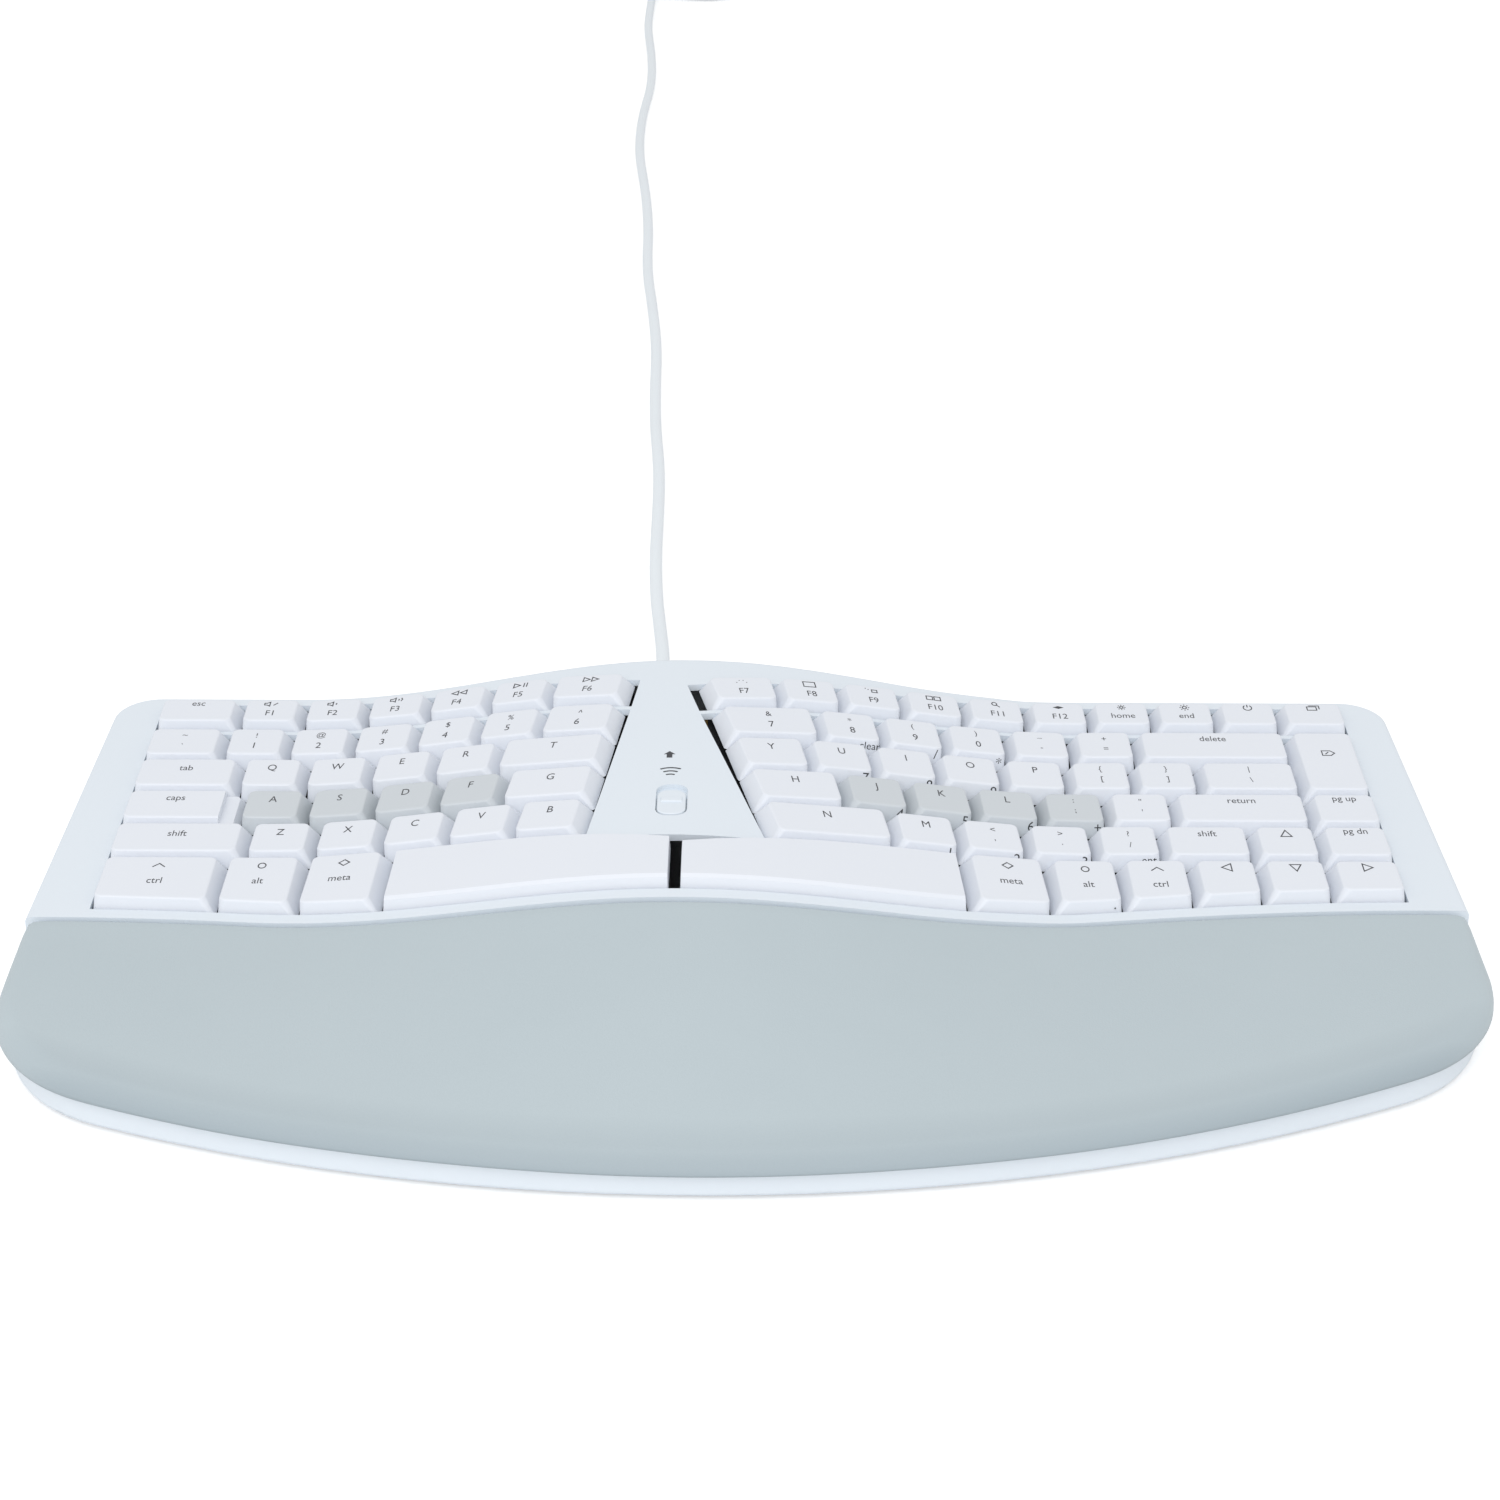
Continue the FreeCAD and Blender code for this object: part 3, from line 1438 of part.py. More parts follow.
def build_cable_tie():
    """Soft strap round the coil's bundle, on the side away from the cable's entry."""
    radius = cord_diameter / 2
    low = coil_lift - tie_gap
    high = coil_lift + cord_diameter + coil_layer + tie_gap
    inner_turn = coil_point(coil_turns - 0.25).x
    outer_turn = coil_point(0.5).x
    near = inner_turn - radius - 5 * tie_gap
    far = outer_turn + radius + 2 * tie_gap
    t = tie_thickness
    outer = Part.makeBox(far - near + 2 * t, tie_width, high - low + 2 * t,
                         Vector(near - t, coil_centre[1] - tie_width / 2, low - t))
    inner = Part.makeBox(far - near, tie_width + 2, high - low,
                         Vector(near, coil_centre[1] - tie_width / 2 - 1, low))
    return outer.cut(inner)


def build_usb_a_plug():
    """Plug at the far end: a moulded grip and its metal shell."""
    end = coil_wire()[1]
    width, height, length = usb_a_grip
    grip = Part.makeBox(width, length, height, Vector(end.x - width / 2, end.y, end.z - height / 2))
    long_edges = [edge for edge in grip.Edges if edge.BoundBox.YLength > length - 0.01]
    grip = grip.makeFillet(1.6, long_edges)
    width, height, depth = usb_a_shell
    start = Vector(end.x - width / 2, end.y + length, end.z - height / 2)
    shell = Part.makeBox(width, depth, height, start)
    mouth = Part.makeBox(width - 0.8, depth - 2, height - 0.8, start + Vector(0.4, 2, 0.4))
    tongue = Part.makeBox(width - 1.6, depth - 3, 1.6, start + Vector(0.8, 1.9, 0.5))
    return Part.makeCompound([grip, shell.cut(mouth).fuse(tongue)])


def build_key_node(names):
    solids = []
    for name in names:
        solids += keycap(keys[name])
    return Part.makeCompound(solids)


def export(name, shape):
    shape.exportStep("parts/" + name + ".step")
    print(name, len(shape.Solids), round(shape.Volume, 1), shape.isValid())


for node, names in key_nodes.items():
    export(node, build_key_node(names))
export("key_space_left", Part.makeCompound(space_bar("left")))
export("key_space_right", Part.makeCompound(space_bar("right")))
export("top_shell", build_top_shell())
export("bottom_shell", build_bottom_shell())
export("palm_pad", build_palm_pad())
export("palm_rest_plate", build_palm_plate())
export("switch_plates", build_switch_plates())
export("circuit_board_left", build_board("left"))
export("circuit_board_right", build_board("right"))
export("switch_housings", build_switch_housings())
export("key_stabilisers", build_stabilisers())
export("battery", build_battery())
export("controller_board", build_controller_board())
export("usb_socket", build_usb_socket())
export("board_link_cable", build_link_cable())
export("slide_switch_body", build_slide_switch())
export("slide_switch_knob", build_knob())
export("rubber_feet", build_rubber_feet())
export("tilt_foot_left", build_tilt_foot(-1))
export("tilt_foot_right", build_tilt_foot(1))
export("tilt_foot_pins", build_tilt_pins())
export("case_screws", build_case_screws())
export("usb_c_plug", build_usb_c_plug())
export("usb_cable", build_cable())
export("usb_cable_coil", build_coil())
export("cable_tie", build_cable_tie())
export("usb_a_plug", build_usb_a_plug())
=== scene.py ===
import bmesh
import bpy
import numpy as np
from math import cos, pi, radians, sin
from mathutils import Matrix, Vector


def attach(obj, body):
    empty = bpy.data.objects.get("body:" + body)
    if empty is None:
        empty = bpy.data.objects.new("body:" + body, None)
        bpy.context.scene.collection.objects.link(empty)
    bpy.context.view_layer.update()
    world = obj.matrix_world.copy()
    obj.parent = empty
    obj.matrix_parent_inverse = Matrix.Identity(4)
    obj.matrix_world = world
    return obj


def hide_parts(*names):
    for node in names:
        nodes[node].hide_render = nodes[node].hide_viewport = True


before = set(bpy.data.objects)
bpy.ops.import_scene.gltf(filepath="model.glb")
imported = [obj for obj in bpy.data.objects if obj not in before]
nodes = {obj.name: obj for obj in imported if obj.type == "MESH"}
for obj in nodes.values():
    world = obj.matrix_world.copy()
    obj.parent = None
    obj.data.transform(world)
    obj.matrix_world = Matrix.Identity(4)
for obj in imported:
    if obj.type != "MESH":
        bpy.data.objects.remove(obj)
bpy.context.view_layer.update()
mm = 0.001
print("frame:", len(nodes), "nodes")

# The board's wave, in millimetres, as the solids have it
board = {
    "keyTop": 22.0, "spineX": -19.0, "waveRun": 116.0, "waveRise": 13.4, "waveRisePerY": 0.005,
    "lean": {"left": radians(9.0), "right": radians(9.7)}, "leanRun": {"left": 135.0, "right": 150.0},
    "frontEdge": {"left": -8.0, "right": -2.0}, "frontDip": {"left": 10.5, "right": 16.5},
    "frontDipRun": {"left": 170.0, "right": 200.0}, "strip": 4.6, "deckDrop": 3.0,
    "back": 117.5, "front": -117.5, "halfBack": 192.2, "halfPalm": 195.2, "widestY": -36.0,
    "palmCorner": 46.0, "frontArc": 420.0, "frontArcX": -12.0,
}


def fade(share):
    # half a cosine wave, 1 at 0 and 0 from 1 on
    return 0.5 * (1 + np.cos(pi * np.minimum(np.abs(share), 1)))


def wave(x, y):
    # height above the outer keys: the spine's rise, a little more towards the rear, faded over its run
    rise = board["waveRise"] + board["waveRisePerY"] * y
    return rise * fade((x - board["spineX"]) / board["waveRun"])


def leanAt(half, x):
    # angle by which a column leans outwards: the most at the spine, faded over the half's run
    return board["lean"][half] * fade((x - board["spineX"]) / board["leanRun"][half])


def dipAt(half, x):
    # how far a row has come forward at x: the lean summed from the outer side
    run = board["leanRun"][half]
    distance = np.minimum(np.abs(x - board["spineX"]), run)
    return board["lean"][half] * 0.5 * (run - distance - run / pi * np.sin(pi * distance / run))


def halfFront(half, x):
    # front line of one half: its straight edge less a dip that is deepest at the spine
    share = (x - board["spineX"]) / board["frontDipRun"][half]
    return board["frontEdge"][half] - board["frontDip"][half] * fade(share)


def wellFront(x):
    # front line of the key fields: each half's own line on its side of the spine
    return np.where(x < board["spineX"], halfFront("left", x), halfFront("right", x))


def shadeSmooth(mesh, smooth):
    mesh.polygons.foreach_set("use_smooth", np.full(len(mesh.polygons), smooth))


def addMesh(name, points, faces, smooth=True):
    # points in millimetres, as an array of rows
    mesh = bpy.data.meshes.new(name)
    mesh.from_pydata((np.asarray(points) * mm).tolist(), [], faces)
    mesh.validate()
    shadeSmooth(mesh, smooth)
    thing = bpy.data.objects.new(name, mesh)
    bpy.context.scene.collection.objects.link(thing)
    return thing


def weld(thing, distance=0.02, smooth=True):
    # joins points that lie on each other and turns the faces outward
    shape = bmesh.new()
    shape.from_mesh(thing.data)
    bmesh.ops.remove_doubles(shape, verts=shape.verts, dist=distance * mm)
    bmesh.ops.recalc_face_normals(shape, faces=shape.faces)
    shape.to_mesh(thing.data)
    shape.free()
    shadeSmooth(thing.data, smooth)


def gridFaces(rings, around):
    # quads between rings of points, each ring closed on itself
    ring, step = np.meshgrid(np.arange(rings - 1), np.arange(around), indexing="ij")
    following = (step + 1) % around
    quads = np.stack([ring * around + step, ring * around + following,
                      (ring + 1) * around + following, (ring + 1) * around + step], axis=-1)
    return quads.reshape(-1, 4).tolist()


# Materials: a value or colour in a node tree, with the usual operators
class Value:
    def __init__(self, paint, socket):
        self.paint = paint
        self.socket = socket

    def maths(self, operation, first, second):
        return self.paint.node("ShaderNodeMath", {"operation": operation}, {0: first, 1: second})

    def __add__(self, other):
        return self.maths("ADD", self, other)

    def __radd__(self, other):
        return self.maths("ADD", other, self)

    def __sub__(self, other):
        return self.maths("SUBTRACT", self, other)

    def __rsub__(self, other):
        return self.maths("SUBTRACT", other, self)

    def __mul__(self, other):
        return self.maths("MULTIPLY", self, other)

    def __rmul__(self, other):
        return self.maths("MULTIPLY", other, self)

    def __truediv__(self, other):
        return self.maths("DIVIDE", self, other)

    def __rtruediv__(self, other):
        return self.maths("DIVIDE", other, self)


class Paint:
    def __init__(self, name):
        self.material = bpy.data.materials.new(name)
        self.material.use_nodes = True
        self.tree = self.material.node_tree
        self.tree.nodes.clear()
        self.shader = self.tree.nodes.new("ShaderNodeBsdfPrincipled")
        self.output = self.tree.nodes.new("ShaderNodeOutputMaterial")
        self.tree.links.new(self.shader.outputs[0], self.output.inputs[0])

    def feed(self, socket, value):
        if isinstance(value, Value):
            self.tree.links.new(value.socket, socket)
        elif isinstance(value, tuple) and len(value) == 3 and socket.type == "RGBA":
            socket.default_value = (*value, 1.0)
        else:
            socket.default_value = value

    def node(self, kind, settings=None, inputs=None, output=0):
        made = self.tree.nodes.new(kind)
        for key, value in (settings or {}).items():
            if key == "stops":  # the ramp's own two ends first, then the ones between
                for index, (place, level) in enumerate(value):
                    stop = made.color_ramp.elements[index] if index < 2 else (
                        made.color_ramp.elements.new(place))
                    stop.position = place
                    stop.color = (level, level, level, 1)
            else:
                setattr(made, key, value)
        for key, value in (inputs or {}).items():
            self.feed(made.inputs[key], value)
        return Value(self, made.outputs[output])

    def place(self):
        return self.node("ShaderNodeTexCoord", output="Object")

    def noise(self, scale, detail=2.0, roughness=0.5):
        # noise over the piece's own coordinates; scale counts cells in a metre
        return self.node("ShaderNodeTexNoise", None, {
            "Vector": self.place(), "Scale": scale, "Detail": detail, "Roughness": roughness})

    def ramp(self, value, stops):
        return self.node("ShaderNodeValToRGB", {"stops": stops}, {"Fac": value})

    def blendColours(self, share, first, second):
        return self.node("ShaderNodeMix", {"data_type": "RGBA"}, {0: share, 6: first, 7: second}, 2)

    def bump(self, height, strength, distance):
        return self.node("ShaderNodeBump", None, {
            "Height": height, "Strength": strength, "Distance": distance})

    def finish(self, **values):
        names = {"colour": "Base Color", "roughness": "Roughness", "metallic": "Metallic",
                 "normal": "Normal", "sheen": "Sheen Weight", "sheenRoughness": "Sheen Roughness",
                 "specular": "Specular IOR Level", "glow": "Emission Color",
                 "glowStrength": "Emission Strength"}
        for key, value in values.items():
            self.feed(self.shader.inputs[names[key]], value)
        return self.material


# Patterns: cells in a metre, how far the gloss varies, and the bump's depth in metres
plastic = {"clouds": 18.0, "cloudShare": 0.5, "gloss": 60.0, "glossSpan": 0.12, "speck": 2600.0,
           "depth": 0.00006}
scratches = {"scale": 900.0, "glossSpan": 0.2, "strength": 0.08, "depth": 0.00005}
rubberGrain = {"scale": 1800.0, "glossSpan": 0.15, "roughness": 0.7, "strength": 0.3, "depth": 0.0001}
inkCover = {"scale": 3000.0, "share": 0.3, "paler": 1.6, "roughness": 0.55}
# the skin's last three entries place the painted shade along the pad's front edge: the arc centre's
# height and the reach of the darkening in millimetres, and the ramp's middle stop
skin = {
    "cells": 1150.0, "cellRim": 0.22, "cellShare": 0.6, "mottle": 26.0, "fibre": 900.0, "fibreShare": 0.4,
    "glossSpan": 0.1, "roughness": 0.55, "strength": 0.25, "depth": 0.00012, "sheen": 0.08,
    "sheenRoughness": 0.5, "edgeShadeZ": 12.0, "edgeShadeDepth": 15.0, "edgeShadeStop": (0.3, 0.62),
}


def mouldedPlastic(name, colour, shade, grain=0.12, roughness=0.42):
    # satin plastic: faint clouds of a second shade, uneven gloss and a fine moulded grain
    paint = Paint(name)
    clouds = paint.noise(plastic["clouds"], detail=3.0)
    speck = paint.noise(plastic["speck"])
    gloss = paint.noise(plastic["gloss"])
    return paint.finish(
        colour=paint.blendColours(clouds * plastic["cloudShare"], colour, shade),
        roughness=gloss * plastic["glossSpan"] + (roughness - plastic["glossSpan"] / 2),
        normal=paint.bump(speck, grain, plastic["depth"]))


def palmSkin(name, colour, shade, edgeShade):
    # soft matte skin over foam: leather-like cells, a mottle and a weak sheen; towards the front
    # edge a painted shade darkens the colour, by the front arc's radius less the distance to its centre
    paint = Paint(name)
    cells = paint.node("ShaderNodeTexVoronoi", {"feature": "DISTANCE_TO_EDGE"},
                       {"Vector": paint.place(), "Scale": skin["cells"]})
    edge = paint.ramp(cells, ((0.0, 0.0), (skin["cellRim"], 1.0)))
    mottle = paint.noise(skin["mottle"], detail=4.0, roughness=0.6)
    fibre = paint.noise(skin["fibre"], detail=3.0)
    # painted shade: full colour of the edge shade at the front arc, fading to the skin's own colour
    # further in
    centre = (board["frontArcX"] * mm, (board["front"] + board["frontArc"]) * mm, skin["edgeShadeZ"] * mm)
    away = paint.node("ShaderNodeVectorMath", {"operation": "DISTANCE"},
                      {0: paint.place(), 1: centre}, "Value")
    depth = (board["frontArc"] * mm - away) / (skin["edgeShadeDepth"] * mm)
    inner = paint.ramp(depth, ((0.0, 0.0), (1.0, 1.0), skin["edgeShadeStop"]))
    return paint.finish(
        colour=paint.blendColours(inner, edgeShade, paint.blendColours(mottle, colour, shade)),
        roughness=fibre * skin["glossSpan"] + skin["roughness"],
        normal=paint.bump(edge * skin["cellShare"] + fibre * skin["fibreShare"],
                          skin["strength"], skin["depth"]),
        sheen=skin["sheen"], sheenRoughness=skin["sheenRoughness"])


def metal(name, colour, roughness=0.3):
    # turned or stamped steel: fine scratches in the gloss
    paint = Paint(name)
    scratch = paint.noise(scratches["scale"], detail=4.0)
    return paint.finish(
        colour=colour, metallic=1.0,
        roughness=scratch * scratches["glossSpan"] + (roughness - scratches["glossSpan"] / 2),
        normal=paint.bump(scratch, scratches["strength"], scratches["depth"]))


def rubber(name, colour):
    # dull rubber: a rough grain in gloss and height
    paint = Paint(name)
    speck = paint.noise(rubberGrain["scale"], detail=3.0)
    return paint.finish(
        colour=colour, roughness=speck * rubberGrain["glossSpan"] + rubberGrain["roughness"],
        normal=paint.bump(speck, rubberGrain["strength"], rubberGrain["depth"]))


def ink(name, colour):
    # printed legend: slightly uneven cover
    paint = Paint(name)
    cover = paint.noise(inkCover["scale"])
    paler = tuple(inkCover["paler"] * part for part in colour)
    return paint.finish(colour=paint.blendColours(cover * inkCover["share"], colour, paler),
                        roughness=inkCover["roughness"])


keyPlastic = mouldedPlastic("key_plastic", (0.80, 0.83, 0.89), (0.76, 0.80, 0.86))
homePlastic = mouldedPlastic("home_key_plastic", (0.62, 0.66, 0.695), (0.57, 0.615, 0.65))
shellPlastic = mouldedPlastic("shell_plastic", (0.77, 0.83, 0.89), (0.74, 0.80, 0.865), 0.1, 0.4)
# the third colour is painted shade for the pad's rolled front edge
palmLeather = palmSkin("palm_skin", (0.50, 0.575, 0.61), (0.47, 0.545, 0.58), (0.35, 0.415, 0.455))
cablePlastic = mouldedPlastic("cable_jacket", (0.84, 0.89, 0.93), (0.80, 0.85, 0.89), 0.2, 0.5)
plateBlack = mouldedPlastic("plate_black", (0.022, 0.024, 0.028), (0.03, 0.032, 0.036), 0.2, 0.5)
switchBlack = mouldedPlastic("switch_black", (0.016, 0.017, 0.019), (0.024, 0.025, 0.028), 0.2, 0.35)
steel = metal("small_steel", (0.60, 0.60, 0.61))
boardGreen = mouldedPlastic("board_green", (0.02, 0.12, 0.06), (0.03, 0.16, 0.08), 0.1, 0.3)
ribbonTan = mouldedPlastic("ribbon_tan", (0.45, 0.28, 0.08), (0.40, 0.24, 0.07), 0.1, 0.3)
batterySilver = metal("battery_silver", (0.55, 0.56, 0.58), 0.45)
footRubber = rubber("foot_rubber", (0.05, 0.05, 0.052))
strapGrey = rubber("strap_grey", (0.12, 0.125, 0.135))
legendInk = ink("legend_ink", (0.045, 0.047, 0.055))
padInk = ink("pad_legend_ink", (0.025, 0.027, 0.032))

# Nodes that aren't named here are keys
finishes = {
    "keys_a_to_f": homePlastic, "keys_j_to_semicolon": homePlastic,
    "bottom_shell": shellPlastic, "top_shell": shellPlastic, "palm_rest_plate": shellPlastic,
    "slide_switch_knob": shellPlastic, "tilt_foot_left": shellPlastic, "tilt_foot_right": shellPlastic,
    "switch_plates": plateBlack, "switch_housings": switchBlack, "key_stabilisers": switchBlack,
    "slide_switch_body": switchBlack, "circuit_board_left": boardGreen,
    "circuit_board_right": boardGreen, "controller_board": boardGreen, "battery": batterySilver,
    "usb_socket": steel, "tilt_foot_pins": steel, "case_screws": steel,
    "board_link_cable": ribbonTan, "rubber_feet": footRubber, "usb_c_plug": cablePlastic,
    "usb_a_plug": cablePlastic, "cable_tie": strapGrey,
}
for nodeName, thing in nodes.items():
    thing.data.materials.clear()
    thing.data.materials.append(finishes.get(nodeName, keyPlastic))
print("finishes: done")

# Camera, with its focal length and frame in the photograph's pixels
camera = {"focal": 3110.0, "frame": 1500.0, "pitch": 27.96, "roll": 0.217, "y": -729.4, "z": 451.1,
          "sensor": 36.0, "clipEnd": 20.0}


def addCamera():
    data = bpy.data.cameras.new("camera")
    data.sensor_width = camera["sensor"]
    data.lens = camera["focal"] / camera["frame"] * data.sensor_width
    data.clip_end = camera["clipEnd"]
    thing = bpy.data.objects.new("camera", data)
    bpy.context.scene.collection.objects.link(thing)
    place = Matrix.Translation((0.0, camera["y"] * mm, camera["z"] * mm))
    tilt = Matrix.Rotation(radians(90.0 - camera["pitch"]), 4, "X")
    thing.matrix_world = place @ tilt @ Matrix.Rotation(radians(camera["roll"]), 4, "Z")
    bpy.context.scene.camera = thing


# Stage: a pale floor, an even world and one lamp; what only the camera sees is brighter
stage = {
    "reach": 6000.0, "floor": (0.93, 0.93, 0.93), "floorRoughness": 0.9, "floorGlow": 0.3,
    "world": (1.0, 1.0, 1.0, 1.0), "worldLevel": 0.79, "seenExtra": 0.21,
    "lampPlace": (-0.25, -1.5, 1.35), "lampTarget": (0.0, 0.0, 0.0), "lampSize": 1.3, "lampPower": 15.0,
}


def addFloor():
    reach = stage["reach"]
    corners = [(-reach, -reach, 0), (reach, -reach, 0), (reach, reach, 0), (-reach, reach, 0)]
    floor = addMesh("floor", corners, [(0, 1, 2, 3)], False)
    paint = Paint("floor_white")
    seen = paint.node("ShaderNodeLightPath", output="Is Camera Ray")
    floor.data.materials.append(paint.finish(
        colour=stage["floor"], roughness=stage["floorRoughness"], specular=0.0,
        glow=paint.blendColours(seen, (0.0, 0.0, 0.0), (1.0, 1.0, 1.0)), glowStrength=stage["floorGlow"]))


def addWorld():
    world = bpy.data.worlds.new("world")
    bpy.context.scene.world = world
    world.use_nodes = True
    tree = world.node_tree
    background = tree.nodes["Background"]
    background.inputs["Color"].default_value = stage["world"]
    rays = tree.nodes.new("ShaderNodeLightPath")
    level = tree.nodes.new("ShaderNodeMath")
    level.operation = "MULTIPLY_ADD"
    level.inputs[1].default_value = stage["seenExtra"]
    level.inputs[2].default_value = stage["worldLevel"]
    tree.links.new(rays.outputs["Is Camera Ray"], level.inputs[0])
    tree.links.new(level.outputs[0], background.inputs["Strength"])


def addLamp():
    data = bpy.data.lights.new("front_lamp", "AREA")
    data.size = stage["lampSize"]
    data.energy = stage["lampPower"]
    thing = bpy.data.objects.new("front_lamp", data)
    bpy.context.scene.collection.objects.link(thing)
    thing.location = stage["lampPlace"]
    aim = Vector(stage["lampTarget"]) - Vector(stage["lampPlace"])
    thing.rotation_euler = aim.to_track_quat("-Z", "Y").to_euler()


addCamera()
addFloor()
addWorld()
addLamp()
bpy.context.scene.view_settings.view_transform = "Standard"
print("camera and stage: done")

# Cable: the route as listed, then the coil's turns, all control points of one smooth line
cable = {
    "diameter": 4.3, "clear": 0.05, "lift": 1.15, "coilX": -28.0, "coilY": 1050.0, "coilRadius": 29.0,
    "pitch": 4.8, "layer": 4.9, "turns": 2.75, "climb": 0.5, "tuck": 1.3, "pointsPerTurn": 16,
    "tail": 46.0, "exitY": 151.8, "plugZ": 4.1, "exitX": -28.0, "exitZ": 6.2,
    "roundSteps": 4, "alongSteps": 4,
}
deskZ = cable["diameter"] / 2 + cable["clear"]
coilZ = cable["diameter"] / 2 + cable["lift"]
coilLeft = cable["coilX"] - cable["coilRadius"]
cableRoute = [
    (cable["exitX"], cable["exitY"], cable["exitZ"]),
    (cable["exitX"], 168.0, cable["exitZ"]),
    (-28.9, 186.0, 4.4), (-30.2, 204.0, 2.6), (-31.9, 226.0, deskZ), (-33.2, 260.0, deskZ),
    (-33.3, 298.0, deskZ), (-33.9, 337.0, deskZ), (-36.6, 378.0, deskZ), (-37.9, 420.0, deskZ),
    (-38.4, 462.0, deskZ), (-41.2, 508.0, deskZ), (-45.6, 560.0, deskZ), (-46.4, 616.0, deskZ),
    (-49.6, 672.0, deskZ), (-54.8, 730.0, deskZ), (-55.2, 790.0, deskZ), (-51.8, 848.0, deskZ),
    (-53.6, 905.0, deskZ), (-57.6, 958.0, deskZ), (coilLeft, 1006.0, coilZ),
    (coilLeft, cable["coilY"] - cable["diameter"], coilZ),
]


def coilLine():
    # inwards on the lower layer, up in half a turn and out again on the upper one: the radius shrinks
    # by the pitch with each turn, and the height grows by half a cosine wave
    total = 2 * cable["turns"] + cable["climb"]
    turn = np.linspace(0.0, total, int(total * cable["pointsPerTurn"]) + 1)
    climb = np.clip((turn - cable["turns"]) / cable["climb"], 0.0, 1.0)
    wound = np.minimum(np.minimum(turn, cable["turns"]), total - turn)
    radius = cable["coilRadius"] - cable["pitch"] * wound
    radius = radius - cable["tuck"] * np.sin(pi * climb) ** 2
    angle = pi - 2 * pi * turn
    height = coilZ + cable["layer"] * (1 - fade(climb))
    return np.stack([cable["coilX"] + radius * np.cos(angle),
                     cable["coilY"] + radius * np.sin(angle), height], axis=1)


def addCable():
    tailEnd = cable["coilY"] + cable["tail"]
    top = coilZ + cable["layer"]
    # the tail as listed: off the coil's top, down to the plug's height and into its grip
    tail = [(coilLeft, cable["coilY"] + 12.0, top), (coilLeft - 1.0, cable["coilY"] + 24.0, top - 2.0),
            (coilLeft - 2.0, cable["coilY"] + 36.0, cable["plugZ"]),
            (coilLeft - 2.0, tailEnd, cable["plugZ"]),
            (coilLeft - 2.0, tailEnd + cable["diameter"], cable["plugZ"])]
    points = np.array(cableRoute + coilLine().tolist() + tail) * mm
    data = bpy.data.curves.new("cable", "CURVE")
    data.dimensions = "3D"
    data.bevel_depth = cable["diameter"] / 2 * mm
    data.bevel_resolution = cable["roundSteps"]
    data.use_fill_caps = True
    spline = data.splines.new("NURBS")
    spline.points.add(len(points) - 1)
    spline.points.foreach_set("co", np.column_stack([points, np.ones(len(points))]).ravel())
    spline.order_u = 3
    spline.use_endpoint_u = True
    spline.resolution_u = cable["alongSteps"]
    thing = bpy.data.objects.new("cable", data)
    bpy.context.scene.collection.objects.link(thing)
    data.materials.append(cablePlastic)
    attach(thing, "base")
    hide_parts("usb_cable", "usb_cable_coil")


addCable()
print("cable: done")

# Palm pad: rings of points from the underside, over a rolled edge, to the crowned middle
pad = {
    "gap": 0.3, "rearBed": -12.6, "thickness": 5.5, "frontBed": 9.6, "frontTop": 13.2, "crown": 1.4,
    "frontRoll": 6.5, "sideRoll": 5.5, "rearRoll": 2.0, "rearFlat": 3.0, "rollGrowth": 26.0,
    "facingFrom": 0.2, "facingSpan": 0.6, "ridge": 146.0, "sideTopY": -17.0, "sideInset": 0.4,
    "sideStart": 1.0, "bedLift": 0.05, "edgeLift": 0.3, "easing": 4,
    "sidePoints": {"rear": 30, "side": 12, "front": 60},
    "acrossSteps": 240, "sideSteps": 70, "rollSteps": 9, "inward": 14,
}


def padRear(x):
    # the key fields' front line moved forward by the white strip
    return wellFront(x) - board["strip"]


def padTop(x, y):
    # straight from the deck's height at the rear to the front's, plus half a sine wave for the crown
    share = np.clip((padRear(x) - y) / (padRear(x) - board["front"]), 0.0, 1.0)
    rear = board["keyTop"] + wave(x, y) - board["deckDrop"]
    return rear + (pad["frontTop"] - rear) * share + pad["crown"] * np.sin(pi * share)


def padBed(x, y):
    # straight from the pad's thickness below the deck at the rear to the plate's front
    rear = board["keyTop"] + wave(x, pad["rearBed"]) - board["deckDrop"] - pad["thickness"]
    return rear + (pad["frontBed"] - rear) * (pad["rearBed"] - y) / (pad["rearBed"] - board["front"])


def sideX(y):
    # straight from the case's half width at the back to the palm rest's widest point
    share = (board["back"] - y) / (board["back"] - board["widestY"])
    return board["halfBack"] + (board["halfPalm"] - board["halfBack"]) * share


def frontY(x):
    # one wide arc, and a round corner at each side that touches the arc and the side
    corner = board["palmCorner"]
    centreY = board["front"] + board["frontArc"]
    cornerX = np.sign(x) * (board["halfPalm"] - corner) - board["frontArcX"]
    inner = board["frontArc"] - corner
    cornerY = centreY - np.sqrt(inner ** 2 - cornerX ** 2)
    meeting = board["frontArcX"] + cornerX * board["frontArc"] / inner
    reach = np.clip(np.abs(x) - board["halfPalm"] + corner, 0.0, corner)
    inCorner = cornerY - np.sqrt(corner ** 2 - reach ** 2)
    onArc = centreY - np.sqrt(board["frontArc"] ** 2 - (x - board["frontArcX"]) ** 2)
    return np.where(np.abs(x) > np.abs(meeting), inCorner, onArc)


def evened(line, count):
    # the same line with its points at even steps
    along = np.concatenate([[0.0], np.cumsum(np.hypot(*np.diff(line, axis=0).T))])
    even = np.linspace(0.0, along[-1], count)
    return np.stack([np.interp(even, along, line[:, 0]), np.interp(even, along, line[:, 1])], axis=1)


